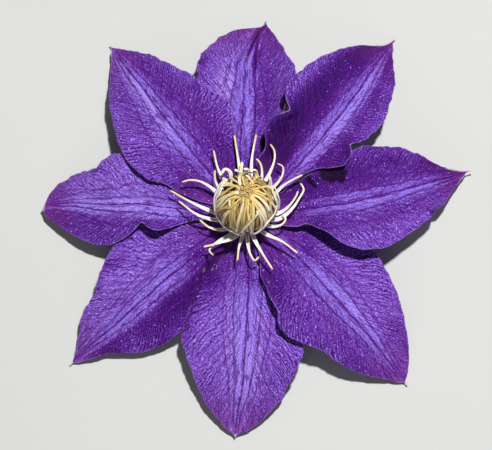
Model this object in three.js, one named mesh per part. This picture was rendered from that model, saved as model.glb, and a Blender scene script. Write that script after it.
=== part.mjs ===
// A large-flowered clematis bloom, cut just below the flower and lying face up.
// Eight pointed tepals spread from a short receptacle and rest on their drooping tips.
// Pale straps, the stamens, arch in a dome over the pistils and spread out around it.
// Millimetres, +Z up, the surface at Z 0, the flower's own axis upright.

import * as THREE from 'three';
import { mergeVertices } from 'three/addons/utils/BufferGeometryUtils.js';

// Driving dimensions of the tepals.
const basePlane = 12;
const tierStep = 0.9;
const seatRadius = 5.2;
const tepalThickness = 0.5;
const tepalGap = 0.6;
const tepalRows = 20;
const tepalColumns = 8;
const archRise = 1.6;
const droopPower = 2.3;
const edgePower = 1.8;
const tipCrowding = 1.35;

// A draped tepal keeps its lift this far past the lower margin, then sinks at this slope.
const drapeLap = 1.2;
const drapeSlope = 0.7;
const drapeEase = 0.5;

// Driving dimensions of the stem, the receptacle and the pistils.
const stemRadius = 1.7;
const stemCutHeight = 1;
const receptacleRadius = 4.85;
const receptacleTop = 21.3;
const pistilRadius = 4.2;
const pistilTop = 33.8;
const pieceGap = 0.3;

// Driving dimensions of the stamens.
const domeCentre = 25.8;
const outerShellRadius = 10.4;
const innerShellRadius = 9;
const domeStamenCount = 23;
const stamenWidth = 1.5;
const stamenTipWidth = 0.55;
const stamenThickness = 0.6;
const stamenTipThickness = 0.35;
const seatHeights = [16.2, 17.1, 18, 18.9, 19.9, 20.8];
const strapSides = 6;
const strapSteps = 7;
const taperStart = 0.2;
const straightBend = new THREE.Vector3(0, 0, -40);
const domeBend = new THREE.Vector3(0, 0, domeCentre);
const domeFootAngle = -24;
const domeSway = 9;

// A smooth function through [place, value] pairs, level where the values turn.
function smoothThrough(pairs) {
  const slopes = pairs.map((pair, i) => {
    if (i === 0 || i === pairs.length - 1) return 0;
    const before = (pair[1] - pairs[i - 1][1]) / (pair[0] - pairs[i - 1][0]);
    const after = (pairs[i + 1][1] - pair[1]) / (pairs[i + 1][0] - pair[0]);
    return before * after > 0 ? (2 * before * after) / (before + after) : 0;
  });
  const last = pairs.length - 1;
  slopes[0] = (pairs[1][1] - pairs[0][1]) / (pairs[1][0] - pairs[0][0]);
  slopes[last] = (pairs[last][1] - pairs[last - 1][1]) / (pairs[last][0] - pairs[last - 1][0]);
  return (place) => {
    if (place <= pairs[0][0]) return pairs[0][1];
    if (place >= pairs[last][0]) return pairs[last][1];
    const i = pairs.findIndex((pair) => pair[0] > place) - 1;
    const step = pairs[i + 1][0] - pairs[i][0];
    const u = (place - pairs[i][0]) / step;
    const rise = pairs[i + 1][1] - pairs[i][1];
    const ease = u * u * (3 - 2 * u);
    const start = u * (1 - u) * (1 - u) * step * slopes[i];
    const end = u * u * (u - 1) * step * slopes[i + 1];
    return pairs[i][1] + rise * ease + start + end;
  };
}

// Each tepal points along its azimuth. Left and right are as seen looking outwards from above.
// An outline gives [distance from the axis, half-width] and an edge [distance, margin's height
// above the midrib]. Tier 0 lies lowest, and each tepal lies on the ones named under it.
const tepals = [
  {
    name: 'tepal_1', azimuth: 124, length: 86.8, tier: 3, tipHeight: 0, under: ['tepal_2', 'tepal_8'],
    left: [[5.2, 3.2], [14, 11], [22, 15.5], [28, 17.5], [32, 21.3], [40, 22.6], [48, 21.4],
      [59, 17.4], [67, 13.8], [75, 8.2], [81.5, 3.6], [86.8, 0.5]],
    right: [[5.2, 3], [16, 8.5], [28, 14.3], [40, 17.6], [44, 16.8], [52, 16.4], [61, 14],
      [68, 11], [75, 8.6], [81, 4.6], [86.8, 0.5]],
    leftEdge: [[5, 0.5], [20, -0.8], [28, -1.2], [34, 0.8], [41, -1.6], [52, -1], [59, -2],
      [65, -0.4], [71, -1.6], [85, 0]],
    rightEdge: [[5, 0.5], [20, -0.5], [35, -1.4], [42, -0.3], [49, -1.5], [56, -0.5], [62, -1.5],
      [69, -0.2], [76, -1.1], [85, 0]],
  },
  {
    name: 'tepal_2', azimuth: 85, length: 80.3, tier: 0, tipHeight: 2.5, under: [],
    left: [[5.2, 3], [22, 10.5], [36, 16.6], [48, 21], [57, 22.2], [66, 21.3], [70, 19], [74, 15.2],
      [76.8, 11], [78, 6.5], [79, 2.2], [80.3, 0.5]],
    right: [[5.2, 3], [26, 6.5], [38, 9.2], [49, 11.8], [56, 13], [61, 11.5], [67, 7.8], [74, 4.3],
      [78, 2], [80.3, 0.5]],
    leftEdge: [[5, 0], [30, -1], [50, -1.8], [60, -0.4], [66, -2], [73, -1.2], [80, 0]],
    rightEdge: [[5, 0.5], [20, 1.5], [40, 3.6], [55, 4.2], [68, 2.6], [80, 0]],
  },
  {
    name: 'tepal_3', azimuth: 54.5, length: 91.7, tier: 3, tipHeight: 0, under: ['tepal_2', 'tepal_4'],
    left: [[5.2, 3], [19, 8.7], [29, 12.8], [35, 12.7], [40, 12.4], [46, 15.9], [54, 16.6], [65, 14.6],
      [77, 9.6], [83, 5], [87, 1.8], [91.7, 0.4]],
    right: [[5.2, 3], [22, 7.5], [29, 9.9], [34, 14.3], [39, 16.2], [44, 15.4], [50, 17.2], [58, 17.7],
      [67, 15], [77, 10.7], [82, 6.4], [88.5, 2], [91.7, 0.4]],
    leftEdge: [[5, 0.5], [20, 1], [27, 3], [33, 1.2], [40, 3], [46, 4], [60, 3], [72, 2], [84, 1],
      [91, 0]],
    rightEdge: [[5, 0], [18, 0.4], [24, 1.6], [31, 0], [38, 2.4], [45, 2], [51, -1.2], [60, -1],
      [70, -0.3], [80, -1], [91, 0]],
  },
  {
    name: 'tepal_4', azimuth: 15.8, length: 81.8, tier: 2, tipHeight: 1.5, under: ['tepal_5'],
    left: [[5.2, 3], [20, 7], [30, 8.6], [36, 9.6], [42, 12.9], [46, 14.7], [52, 13.4], [61, 10.8],
      [66, 8.2], [71, 4], [76.5, 1.3], [81.8, 0.4]],
    right: [[5.2, 3.5], [14, 8.7], [20, 10.3], [25, 13.2], [30, 19.8], [35.5, 23], [42, 23.2],
      [50, 21.3], [58, 18.5], [67, 13.3], [74, 6.7], [78.5, 2.6], [81.8, 0.4]],
    leftEdge: [[5, 0], [20, -0.4], [34, -0.8], [42, 1.4], [50, 1], [59, 1.8], [64, 0.8], [74, 0.8],
      [82, 0]],
    rightEdge: [[5, 0.5], [14, 0.8], [19, -0.4], [24, 1.2], [32, 0.4], [40, 1.2], [50, 0],
      [62, -0.8], [82, 0]],
  },
  {
    name: 'tepal_5', azimuth: -46, length: 79.6, tier: 1, tipHeight: 0, under: ['tepal_6'],
    left: [[5.2, 3], [15, 11], [30, 21.4], [40, 24.2], [49, 22.2], [57, 19], [66, 13.7], [73, 8.3],
      [77, 3.8], [79.6, 0.5]],
    right: [[5.2, 3], [12, 5.6], [22, 13.7], [34, 17.6], [39, 20.8], [43.5, 20.3], [48, 17.8],
      [54, 14.8], [61, 13.3], [67.5, 9.8], [73, 5.4], [76.5, 2.6], [79.6, 0.4]],
    leftEdge: [[5, 0], [20, -1.2], [38, -2.2], [50, -1.6], [60, -0.6], [70, -1], [80, 0]],
    rightEdge: [[5, 0.3], [19, 0.6], [26, -0.6], [33, 0.6], [43, -0.6], [56, -0.3], [65, -1],
      [80, 0]],
  },
  {
    name: 'tepal_6', azimuth: -92.8, length: 77.2, tier: 0, tipHeight: 1, under: [],
    left: [[5.2, 3], [15, 8], [28, 14.7], [39, 20.1], [46.5, 22.3], [51, 21.4], [58, 18],
      [64, 15.2], [70, 10.2], [74.5, 5], [77.2, 0.6]],
    right: [[5.2, 3], [11, 6], [21, 12.3], [33, 18], [43, 20.6], [50, 18.5], [58, 15.3], [65, 11.7],
      [71, 7.4], [74.5, 3.6], [77.2, 0.6]],
    leftEdge: [[5, 0], [25, -1], [42, -1.8], [52, -0.8], [62, -1.6], [78, 0]],
    rightEdge: [[5, -0.3], [20, -2.2], [40, -3.4], [50, -2], [60, -1.6], [78, 0]],
  },
  {
    name: 'tepal_7', azimuth: -140.5, length: 78.4, tier: 1, tipHeight: 0, under: ['tepal_6'],
    left: [[5.2, 3], [16, 6], [26, 10.4], [33, 14.1], [41, 17.2], [48.5, 16.4], [56, 14], [62, 10],
      [65.5, 7], [69.5, 5], [75.5, 1.9], [78.4, 0.4]],
    right: [[5.2, 3.5], [11, 8], [22, 14.7], [33, 20.5], [42, 22.6], [48, 19.4], [54, 15.6],
      [59.5, 12.8], [65, 11.2], [69.5, 7.1], [75, 2.2], [78.4, 0.4]],
    leftEdge: [[5, 0], [20, -2], [35, -3.6], [48, -4.4], [60, -3], [70, -1], [78, 0]],
    rightEdge: [[5, 0], [20, -1.6], [34, -3], [43, -3.2], [51, -1], [58, -2.2], [66, -0.6], [78, 0]],
  },
  {
    name: 'tepal_8', azimuth: 173.8, length: 72.5, tier: 2, tipHeight: 2, under: ['tepal_7'],
    left: [[5.2, 2.2], [11, 2.8], [20, 4], [26, 7.6], [31, 9.3], [36, 8.3], [42, 11.9], [47, 13.8],
      [53, 12.9], [59, 10.5], [64, 7.5], [68.5, 4.6], [71.5, 2.4], [72.5, 1.2]],
    right: [[5.2, 3], [19, 7.7], [30, 13.5], [39, 18.3], [45.5, 21], [51, 18.9], [55, 16.5],
      [62, 12.6], [67, 9.9], [70, 6.6], [71.8, 3.5], [72.5, 1.2]],
    leftEdge: [[5, 0], [15, 0], [22, -1.4], [30, 0.8], [37, -1.4], [45, -3], [58, -2.2], [66, -0.8],
      [72, 0]],
    rightEdge: [[5, 0], [30, -1.4], [44, -1.6], [50, -0.4], [55, -1.6], [62, -0.5], [72, 0]],
  },
];

for (const tepal of tepals) {
  tepal.halfWidth = { left: smoothThrough(tepal.left), right: smoothThrough(tepal.right) };
  tepal.edge = { left: smoothThrough(tepal.leftEdge), right: smoothThrough(tepal.rightEdge) };
  tepal.outward = new THREE.Vector2(1, 0);
  tepal.outward.rotateAround(new THREE.Vector2(), THREE.MathUtils.degToRad(tepal.azimuth));
}

// The height of a free tepal's upper face, out from the axis and across from -1 to 1.
function freeHeight(tepal, out, across) {
  const s = (out - seatRadius) / (tepal.length - seatRadius);
  const seat = basePlane + tepal.tier * tierStep;
  const droop = seat - tepal.tipHeight - tepalThickness;
  const arch = archRise * 4 * s * (1 - s);
  const edge = tepal.edge[across > 0 ? 'left' : 'right'](out);
  return seat + arch - droop * Math.pow(s, droopPower) + edge * Math.pow(Math.abs(across), edgePower);
}

// The height with the tepal draped over those that it lies on, clear of them all the way.
function drapedHeight(tepal, out, across) {
  const side = across > 0 ? 'left' : 'right';
  const aside = across * tepal.halfWidth[side](out);
  const x = tepal.outward.x * out - tepal.outward.y * aside;
  const y = tepal.outward.y * out + tepal.outward.x * aside;
  let height = freeHeight(tepal, out, across);
  for (const lower of tepals.filter((other) => tepal.under.includes(other.name))) {
    const lowerOut = lower.outward.x * x + lower.outward.y * y;
    const lowerAside = lower.outward.x * y - lower.outward.y * x;
    if (lowerOut < seatRadius) continue;
    const width = lower.halfWidth[lowerAside > 0 ? 'left' : 'right'](lowerOut);
    const beyond = Math.max(0, Math.abs(lowerAside) - width);
    const lowerAcross = THREE.MathUtils.clamp(lowerAside / width, -1, 1);
    const floor = drapedHeight(lower, Math.min(lowerOut, lower.length), lowerAcross)
      + tepalThickness + tepalGap - drapeSlope * Math.max(0, beyond - drapeLap);
    height = (height + floor + Math.hypot(height - floor, drapeEase)) / 2;
  }
  return height;
}

// Moves every vertex of a closed geometry to the place that the function gives it.
function reshape(geometry, place) {
  geometry.deleteAttribute('normal');
  geometry.deleteAttribute('uv');
  const shaped = mergeVertices(geometry);
  const position = shaped.getAttribute('position');
  const vertex = new THREE.Vector3();
  for (let i = 0; i < position.count; i += 1) {
    vertex.fromBufferAttribute(position, i);
    const moved = place(vertex);
    position.setXYZ(i, moved.x, moved.y, moved.z);
  }
  shaped.computeVertexNormals();
  return shaped;
}

// A tepal's blade: rows lie closer together towards the tip.
function tepalGeometry(tepal) {
  return reshape(new THREE.BoxGeometry(1, 2, 1, tepalRows, tepalColumns, 1), (vertex) => {
    const s = 1 - Math.pow(Math.max(0, 0.5 - vertex.x), tipCrowding);
    const out = seatRadius + (tepal.length - seatRadius) * s;
    const across = vertex.y;
    const aside = across * tepal.halfWidth[across > 0 ? 'left' : 'right'](out);
    const height = drapedHeight(tepal, out, across) - (vertex.z < 0 ? tepalThickness : 0);
    const x = tepal.outward.x * out - tepal.outward.y * aside;
    const y = tepal.outward.y * out + tepal.outward.x * aside;
    return new THREE.Vector3(x, y, height);
  });
}

function polar(azimuth, radius, height) {
  const angle = THREE.MathUtils.degToRad(azimuth);
  return new THREE.Vector3(radius * Math.cos(angle), radius * Math.sin(angle), height);
}

// A strap along a route: its flat face looks away from the centre of the bend, and it tapers.
function strapGeometry(points, bendCentre) {
  const route = new THREE.CatmullRomCurve3(points, false, 'centripetal');
  const strap = new THREE.CylinderGeometry(1, 1, 1, strapSides, strapSteps);
  return reshape(strap, (vertex) => {
    const t = THREE.MathUtils.clamp(vertex.y + 0.5, 0, 1);
    const at = route.getPointAt(t);
    const along = route.getTangentAt(t);
    const face = at.clone().sub(bendCentre).normalize();
    const side = new THREE.Vector3().crossVectors(along, face).normalize();
    const up = new THREE.Vector3().crossVectors(side, along);
    const taper = THREE.MathUtils.smoothstep(t, taperStart, 1);
    const width = THREE.MathUtils.lerp(stamenWidth, stamenTipWidth, taper);
    const thickness = THREE.MathUtils.lerp(stamenThickness, stamenTipThickness, taper);
    at.addScaledVector(side, vertex.x * width / 2);
    return at.addScaledVector(up, vertex.z * thickness / 2);
  });
}

// The spreading stamens. Each route gives [azimuth, radius, height] from the dome's foot to the tip,
// and the seat is the ring on the receptacle that it grows from.
const spreadingStamens = [
  { seat: 0, route: [[99, 10, 17.8], [98, 18, 19.4], [98, 30, 18.2]] },
  { seat: 1, route: [[82, 10.6, 17.7], [84, 20, 19.8], [83, 30, 18.8]] },
  { seat: 0, route: [[60, 11, 18], [61, 19, 19.6], [65, 24, 20], [72, 27, 19.4]] },
  { seat: 2, route: [[64, 11, 19], [68, 15, 20.6], [74, 18, 21.2], [80, 19.6, 20.8]] },
  { seat: 1, route: [[45, 11, 17.9], [45, 17.4, 19.8], [51, 20.6, 20.6], [59, 20.8, 20]] },
  { seat: 0, route: [[33, 10, 17.6], [36.5, 17, 19.2], [34, 24, 20.2]] },
  { seat: 1, route: [[-17, 11, 18.8], [0, 15.6, 20], [14, 19.4, 20.6], [23, 22, 20.4], [29, 21.6, 20]] },
  { seat: 0, route: [[-5, 9.4, 17.4], [5, 14, 18.2], [17, 18, 18.6], [24, 20, 18.2]] },
  { seat: 1, route: [[-33, 10.6, 19], [-24, 13.6, 20], [-14, 14.2, 20.4], [-9, 12.6, 20.6]] },
  { seat: 0, route: [[-52, 9.6, 17.8], [-43, 17, 19.4], [-41, 24, 18.4]] },
  { seat: 1, route: [[-75, 10, 18.6], [-71, 17, 19.8], [-67, 24, 18.6]] },
  { seat: 0, route: [[-87, 10, 17.8], [-85, 16, 18.8], [-80, 19, 19], [-75, 17.8, 19.2]] },
  { seat: 1, route: [[-98, 10, 18.8], [-100, 14, 19.6], [-99, 19, 18.8]] },
  { seat: 0, route: [[-124, 10, 17.6], [-132, 16, 18.4], [-131, 19.4, 18.5], [-124, 20, 18.4]] },
  { seat: 2, route: [[-111, 10.4, 19], [-125, 15, 20.2], [-137, 20.4, 19.8]] },
  { seat: 0, route: [[-140, 10, 17.8], [-154, 14, 18.8], [-168, 16.6, 19.4]] },
  { seat: 1, route: [[-163, 11, 18.8], [-174, 17, 20], [-189, 24, 19.6]] },
  { seat: 0, route: [[-180, 11, 18], [-188, 18, 19.4], [-197, 28, 18.6]] },
  { seat: 1, route: [[144, 11, 17.8], [144.5, 18, 19.4], [149, 22, 20.2], [155, 25, 19.8]] },
  { seat: 0, route: [[121, 11, 17.8], [122, 18, 19.4], [116, 26, 19.2]] },
  { seat: 2, route: [[140, 11, 19], [134, 15.4, 20.6], [126, 18.6, 20.6]] },
  { seat: 3, route: [[118, 10.8, 19.8], [113, 13.4, 22], [114, 15.4, 23.2], [119, 15.8, 23.6],
    [125, 14.8, 23.4]] },
  { seat: 2, route: [[102, 10.8, 18.8], [97, 14.4, 20.8], [95, 16.6, 21.6], [94, 17.8, 21.4]] },
  { seat: 3, route: [[99, 10.8, 19.8], [102, 12.6, 23], [103, 12.9, 25.4], [108, 13.3, 26]] },
  { seat: 2, route: [[83, 10.8, 18.9], [85, 12.8, 22.4], [88, 13.4, 25], [94, 13, 25.8]] },
  { seat: 3, route: [[72, 10.8, 19.8], [73, 12.9, 22.8], [76, 13.4, 25.2], [81, 12.8, 25.8]] },
  { seat: 2, route: [[46, 10.8, 18.9], [49, 13, 21.4], [55, 14, 23.4], [58, 14.3, 23.4]] },
];

function spreadingStamenGeometry(stamen) {
  const [azimuth] = stamen.route[0];
  const seat = polar(azimuth, seatRadius, seatHeights[stamen.seat]);
  const points = [seat, ...stamen.route.map(([turn, radius, height]) => polar(turn, radius, height))];
  return strapGeometry(points, straightBend);
}

// A dome stamen swells out from the receptacle and closes in over the pistils. Every second one
// lies in the inner shell and ends nearer to the pole.
function domeStamenGeometry(index) {
  const inner = index % 2 === 1;
  const shell = inner ? innerShellRadius : outerShellRadius;
  const azimuth = (360 / domeStamenCount) * index;
  const sway = domeSway * Math.sin(index * 2.4);
  const endAngle = inner ? 74 + 4 * Math.sin(index * 1.7) : 58 + 7 * Math.sin(index * 1.3);
  const seat = polar(azimuth, seatRadius, seatHeights[inner ? 5 : 4]);
  const angles = [domeFootAngle, 2, 28, (28 + endAngle) / 2, endAngle];
  const points = angles.map((angle, i) => {
    const lift = THREE.MathUtils.degToRad(angle);
    const turn = azimuth + (sway * i) / (angles.length - 1);
    return polar(turn, shell * Math.cos(lift), domeCentre + shell * Math.sin(lift));
  });
  return strapGeometry([seat, ...points], domeBend);
}

// The cut stem with the receptacle that carries every other piece.
function stemGeometry() {
  const flare = basePlane - tepalThickness - pieceGap;
  const profile = [
    [0, stemCutHeight], [stemRadius, stemCutHeight], [stemRadius * 0.95, flare - 5],
    [stemRadius * 1.5, flare - 2], [receptacleRadius * 0.85, flare - 0.6], [receptacleRadius, flare + 0.6],
    [receptacleRadius, receptacleTop - 1.2], [receptacleRadius * 0.8, receptacleTop - 0.2],
    [receptacleRadius * 0.5, receptacleTop], [0, receptacleTop],
  ];
  return new THREE.LatheGeometry(profile.map(([x, y]) => new THREE.Vector2(x, y)), 18);
}

// The crowded pistils, one head that narrows to the styles' tips.
function pistilGeometry() {
  const foot = receptacleTop + pieceGap;
  const height = pistilTop - foot;
  const profile = [
    [0, foot], [receptacleRadius * 0.5, foot], [pistilRadius * 0.85, foot + height * 0.15],
    [pistilRadius, foot + height * 0.4], [pistilRadius * 0.92, foot + height * 0.65],
    [pistilRadius * 0.6, foot + height * 0.88], [pistilRadius * 0.25, pistilTop], [0, pistilTop],
  ];
  return new THREE.LatheGeometry(profile.map(([x, y]) => new THREE.Vector2(x, y)), 14);
}

// A lathe turns about +Y, so its mesh is stood up on +Z.
function standing(geometry) {
  return geometry.rotateX(Math.PI / 2);
}

const tepalMaterial = new THREE.MeshStandardMaterial({ color: 0x5b3fb8, roughness: 0.7, metalness: 0 });
const stamenMaterial = new THREE.MeshStandardMaterial({ color: 0xe8dcb4, roughness: 0.6, metalness: 0 });
const pistilMaterial = new THREE.MeshStandardMaterial({ color: 0xc9a24a, roughness: 0.6, metalness: 0 });
const stemMaterial = new THREE.MeshStandardMaterial({ color: 0x6f8a45, roughness: 0.6, metalness: 0 });

const flower = new THREE.Group();
flower.name = 'clematis_flower';

function addPiece(name, geometry, material) {
  const piece = new THREE.Mesh(geometry, material.clone());
  piece.name = name;
  flower.add(piece);
}

addPiece('stem', standing(stemGeometry()), stemMaterial);
addPiece('pistil_head', standing(pistilGeometry()), pistilMaterial);
for (const tepal of tepals) {
  addPiece(tepal.name, tepalGeometry(tepal), tepalMaterial);
}
spreadingStamens.forEach((stamen, index) => {
  const name = `spreading_stamen_${String(index + 1).padStart(2, '0')}`;
  addPiece(name, spreadingStamenGeometry(stamen), stamenMaterial);
});
for (let index = 0; index < domeStamenCount; index += 1) {
  const name = `dome_stamen_${String(index + 1).padStart(2, '0')}`;
  addPiece(name, domeStamenGeometry(index), stamenMaterial);
}

// The origin is the middle of the bloom's outline, on the surface that it lies on.
const box = new THREE.Box3().setFromObject(flower);
flower.position.set(-(box.min.x + box.max.x) / 2, -(box.min.y + box.max.y) / 2, -box.min.z);

export default flower;
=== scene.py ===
# Finishes a large-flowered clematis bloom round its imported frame: veined velvety tepals,
# grooved cream stamens, a golden head of pistils and a cut stem, on a plain pale floor.
import math

import bpy
import numpy as np
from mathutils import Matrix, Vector


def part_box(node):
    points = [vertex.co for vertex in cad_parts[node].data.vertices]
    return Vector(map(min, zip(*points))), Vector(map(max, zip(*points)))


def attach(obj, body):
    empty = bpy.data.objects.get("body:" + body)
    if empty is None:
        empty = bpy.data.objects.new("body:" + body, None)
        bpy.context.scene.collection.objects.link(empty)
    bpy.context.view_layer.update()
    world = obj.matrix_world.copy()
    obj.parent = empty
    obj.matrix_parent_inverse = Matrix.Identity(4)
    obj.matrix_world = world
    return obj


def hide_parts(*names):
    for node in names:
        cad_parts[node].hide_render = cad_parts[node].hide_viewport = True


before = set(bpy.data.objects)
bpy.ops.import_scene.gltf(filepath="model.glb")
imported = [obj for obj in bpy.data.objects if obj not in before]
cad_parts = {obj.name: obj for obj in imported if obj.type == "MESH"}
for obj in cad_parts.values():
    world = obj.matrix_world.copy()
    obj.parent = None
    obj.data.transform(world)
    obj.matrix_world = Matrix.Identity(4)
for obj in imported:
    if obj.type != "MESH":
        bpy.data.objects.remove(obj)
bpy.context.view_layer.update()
mm = 0.001

stemLow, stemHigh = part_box("stem")
axisPoint = (stemLow + stemHigh) / 2  # the flower's own axis stands here
print("frame loaded:", len(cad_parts), "nodes")


def mergedMesh(node):
    # a node's separate triangles with their shared corners merged
    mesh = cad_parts[node].data
    points, index = np.unique(np.round(getCorners(mesh), 7), axis=0, return_inverse=True)
    index = index.reshape(-1)
    return points, np.array([[index[v] for v in face.vertices] for face in mesh.polygons])


def curve(points, samples):
    # evenly spaced samples of a smooth curve through the points, which runs on straight past its ends
    points = np.asarray(points, dtype=float)
    padded = np.concatenate([[2 * points[0] - points[1]], points, [2 * points[-1] - points[-2]]])
    place = np.linspace(0, len(points) - 1, samples)
    knot = np.minimum(place.astype(int), len(points) - 2)
    u = (place - knot).reshape(-1, *[1] * (points.ndim - 1))
    a, b, c, d = (padded[knot + step] for step in range(4))
    return b + u / 2 * (c - a + u * (2 * a - 5 * b + 4 * c - d + u * (3 * (b - c) + d - a)))


def sampled(rows, run, places):
    # the rows' values at other places along their run
    return np.stack([np.interp(places, run, column) for column in rows.T], 1)


def smooth(low, high, value):
    u = np.clip((value - low) / (high - low), 0, 1)
    return u * u * (3 - 2 * u)


def fall(low, high, value):
    return 1 - smooth(low, high, value)


def bell(value):
    return np.exp(-value ** 2)


def through(points, value):
    # the straight-line curve through some (place, height) points
    return np.interp(value, *np.transpose(points))


def deselectAll():
    if bpy.context.object and bpy.context.object.mode != "OBJECT":
        bpy.ops.object.mode_set(mode="OBJECT")
    bpy.ops.object.select_all(action="DESELECT")


def only(piece):
    deselectAll()
    piece.select_set(True)
    bpy.context.view_layer.objects.active = piece


def setCorners(mesh, points):
    mesh.vertices.foreach_set("co", np.ascontiguousarray(points, dtype=np.float64).ravel())
    mesh.update()


def getCorners(mesh):
    points = np.zeros(len(mesh.vertices) * 3)
    mesh.vertices.foreach_get("co", points)
    return points.reshape(-1, 3)


def setMap(mesh, name, across, up):
    # the mesh's own map, from one place for each corner point
    layer = mesh.uv_layers[0]
    layer.name = name
    index = np.zeros(len(mesh.loops), dtype=np.int32)
    mesh.loops.foreach_get("vertex_index", index)
    layer.data.foreach_set("uv", np.stack([across, up], 1)[index].ravel())


def plug(tree, socket, value):
    # a socket takes another node's output or a plain value
    if isinstance(value, bpy.types.NodeSocket):
        tree.links.new(value, socket)
    else:
        socket.default_value = value


def addNode(tree, kind, settings=None, **values):
    # values go in by the socket's name, or by its place as i0, i1 and so on
    node = tree.nodes.new(kind)
    for name, value in (settings or {}).items():
        setattr(node, name, value)
    for name, value in values.items():
        plug(tree, node.inputs[int(name[1:]) if name[1:].isdigit() else name], value)
    return node


def calc(tree, operation, a, b=0.0, c=0.0):
    return addNode(tree, "ShaderNodeMath", {"operation": operation}, i0=a, i1=b, i2=c).outputs[0]


def times(tree, a, b):
    return calc(tree, "MULTIPLY", a, b)


def timesPlus(tree, a, b, c):
    return calc(tree, "MULTIPLY_ADD", a, b, c)


def plus(tree, a, b):
    return calc(tree, "ADD", a, b)


def minus(tree, a, b):
    return calc(tree, "SUBTRACT", a, b)


def over(tree, a, b):
    return calc(tree, "DIVIDE", a, b)


def larger(tree, a, b):
    return calc(tree, "MAXIMUM", a, b)


def sizeOf(tree, value):
    return calc(tree, "ABSOLUTE", value)


def centred(tree, value, amount):
    # a 0 to 1 value as a change of tone up and down
    return times(tree, minus(tree, value, 0.5), amount)


def ramp(tree, value, low, high, start=0.0, end=1.0):
    node = addNode(tree, "ShaderNodeMapRange", {"interpolation_type": "SMOOTHSTEP"},
                   i0=value, i1=low, i2=high, i3=start, i4=end)
    return node.outputs[0]


def noise(tree, place, scale, detail, roughness=0.5):
    node = addNode(tree, "ShaderNodeTexNoise", None,
                   Vector=place, Scale=scale, Detail=detail, Roughness=roughness)
    return node.outputs[0]


def vectorCalc(tree, operation, a, b):
    return addNode(tree, "ShaderNodeVectorMath", {"operation": operation}, i0=a, i1=b).outputs[0]


def vector(tree, x, y, z=0.0):
    return addNode(tree, "ShaderNodeCombineXYZ", None, X=x, Y=y, Z=z).outputs[0]


def split(tree, value):
    return addNode(tree, "ShaderNodeSeparateXYZ", None, Vector=value).outputs


def mapped(tree, name):
    return addNode(tree, "ShaderNodeUVMap", {"uv_map": name}).outputs[0]


def painted(tree, name):
    return addNode(tree, "ShaderNodeAttribute", {"attribute_name": name}).outputs["Fac"]


def objectPlace(tree):
    return addNode(tree, "ShaderNodeTexCoord").outputs["Object"]


def mixColour(tree, factor, a, b):
    return addNode(tree, "ShaderNodeMix", {"data_type": "RGBA"}, i0=factor, i6=a, i7=b).outputs[2]


def layered(tree, shade, *layers):
    # colours laid one over another, each by its own amount
    for amount, value in layers:
        shade = mixColour(tree, amount, shade, value)
    return shade


def colour(*screen):
    # an on-screen colour, 0 to 255, as the linear values that nodes take
    linear = [c / 255 / 12.92 if c <= 10 else ((c / 255 + 0.055) / 1.055) ** 2.4 for c in screen]
    return (*linear, 1.0)


def floatCurve(tree, value, points):
    node = addNode(tree, "ShaderNodeFloatCurve", None, Value=value)
    curve = node.mapping.curves[0]
    curve.points[0].location = points[0]
    curve.points[1].location = points[-1]
    for point in points[1:-1]:
        curve.points.new(*point)
    node.mapping.update()
    return node.outputs[0]


def openGroup(name, place, values):
    # a node group with one vector input and some float inputs
    group = bpy.data.node_groups.new(name, "ShaderNodeTree")
    group.interface.new_socket(place, in_out="INPUT", socket_type="NodeSocketVector")
    for title in values:
        group.interface.new_socket(title, in_out="INPUT", socket_type="NodeSocketFloat")
    return group, group.nodes.new("NodeGroupInput").outputs


def closeGroup(group, results):
    for title in results:
        group.interface.new_socket(title, in_out="OUTPUT", socket_type="NodeSocketFloat")
    out = group.nodes.new("NodeGroupOutput")
    for title, value in results.items():
        group.links.new(value, out.inputs[title])
    return group


def placeGroup(tree, group, values):
    node = addNode(tree, "ShaderNodeGroup", {"node_tree": group})
    for title, value in values.items():
        plug(tree, node.inputs[title], value)
    return node.outputs


def newMaterial(name):
    material = bpy.data.materials.new(name)
    material.use_nodes = True
    return material, material.node_tree


def finishMaterial(material, shade, roughness, height, strength, depth, fixed):
    # colour, roughness and relief, depth in millimetres, and what is the same all over
    tree = material.node_tree
    shader = tree.nodes["Principled BSDF"]
    bump = addNode(tree, "ShaderNodeBump", None, Strength=strength, Distance=depth * mm, Height=height)
    sockets = {"Base Color": shade, "Roughness": roughness, "Normal": bump.outputs[0], **fixed}
    for title, value in sockets.items():
        plug(tree, shader.inputs[title], value)
    return material


tepalFinish = {
    "darkest": colour(34, 6, 66),
    "dark": colour(60, 16, 107),
    "violet": colour(97, 46, 151),
    "lavender": colour(138, 101, 206),
    "pale": colour(184, 152, 240),
    "bar": colour(124, 110, 212),
    "flush": colour(130, 60, 142),
    "rib": colour(78, 10, 117),
    # painted deep shade under neighbours' margins
    "paintedShadow": colour(26, 0, 42),
    "rim": colour(176, 140, 216),
    "tip": colour(222, 210, 204),
    "fleck": colour(118, 94, 74),
    "under": colour(128, 104, 176),
    "underBar": colour(146, 146, 150),
    "sheen": colour(190, 160, 240),
    "stops": ((0.2, "dark"), (0.42, "violet"), (0.68, "lavender")),  # tones between darkest and pale
    # how far apart the ribs run from foot to tip, and how wide the bands of tone are, as shares
    "ribSpread": ((0, 0.35), (0.15, 0.62), (0.42, 1.0), (0.7, 0.72), (0.9, 0.3), (1, 0.04)),
    "toneSpread": ((0, 0.4), (0.15, 0.66), (0.42, 1.0), (0.7, 0.8), (0.9, 0.5), (1, 0.3)),
    "outerRibSpacing": 8.6,  # millimetres from the midrib
    "ribWidth": 0.38,
    "netWidth": 2.0,         # size of the finest net of veins
    "wrinkleSpacing": 0.74,
    "glintSpacing": 0.95,
    "underGlintSpacing": 1.1,
    "reliefDepth": 0.4,
    "seedStep": 1.7,         # sets one tepal's pattern apart from the next one's
}


def lineGap(t, course, spacing, waver, amount):
    # 0 on evenly spaced lines that waver, 0.5 midway between them
    return calc(t, "PINGPONG", timesPlus(t, waver, amount, over(t, course, spacing)), 0.5)


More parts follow.
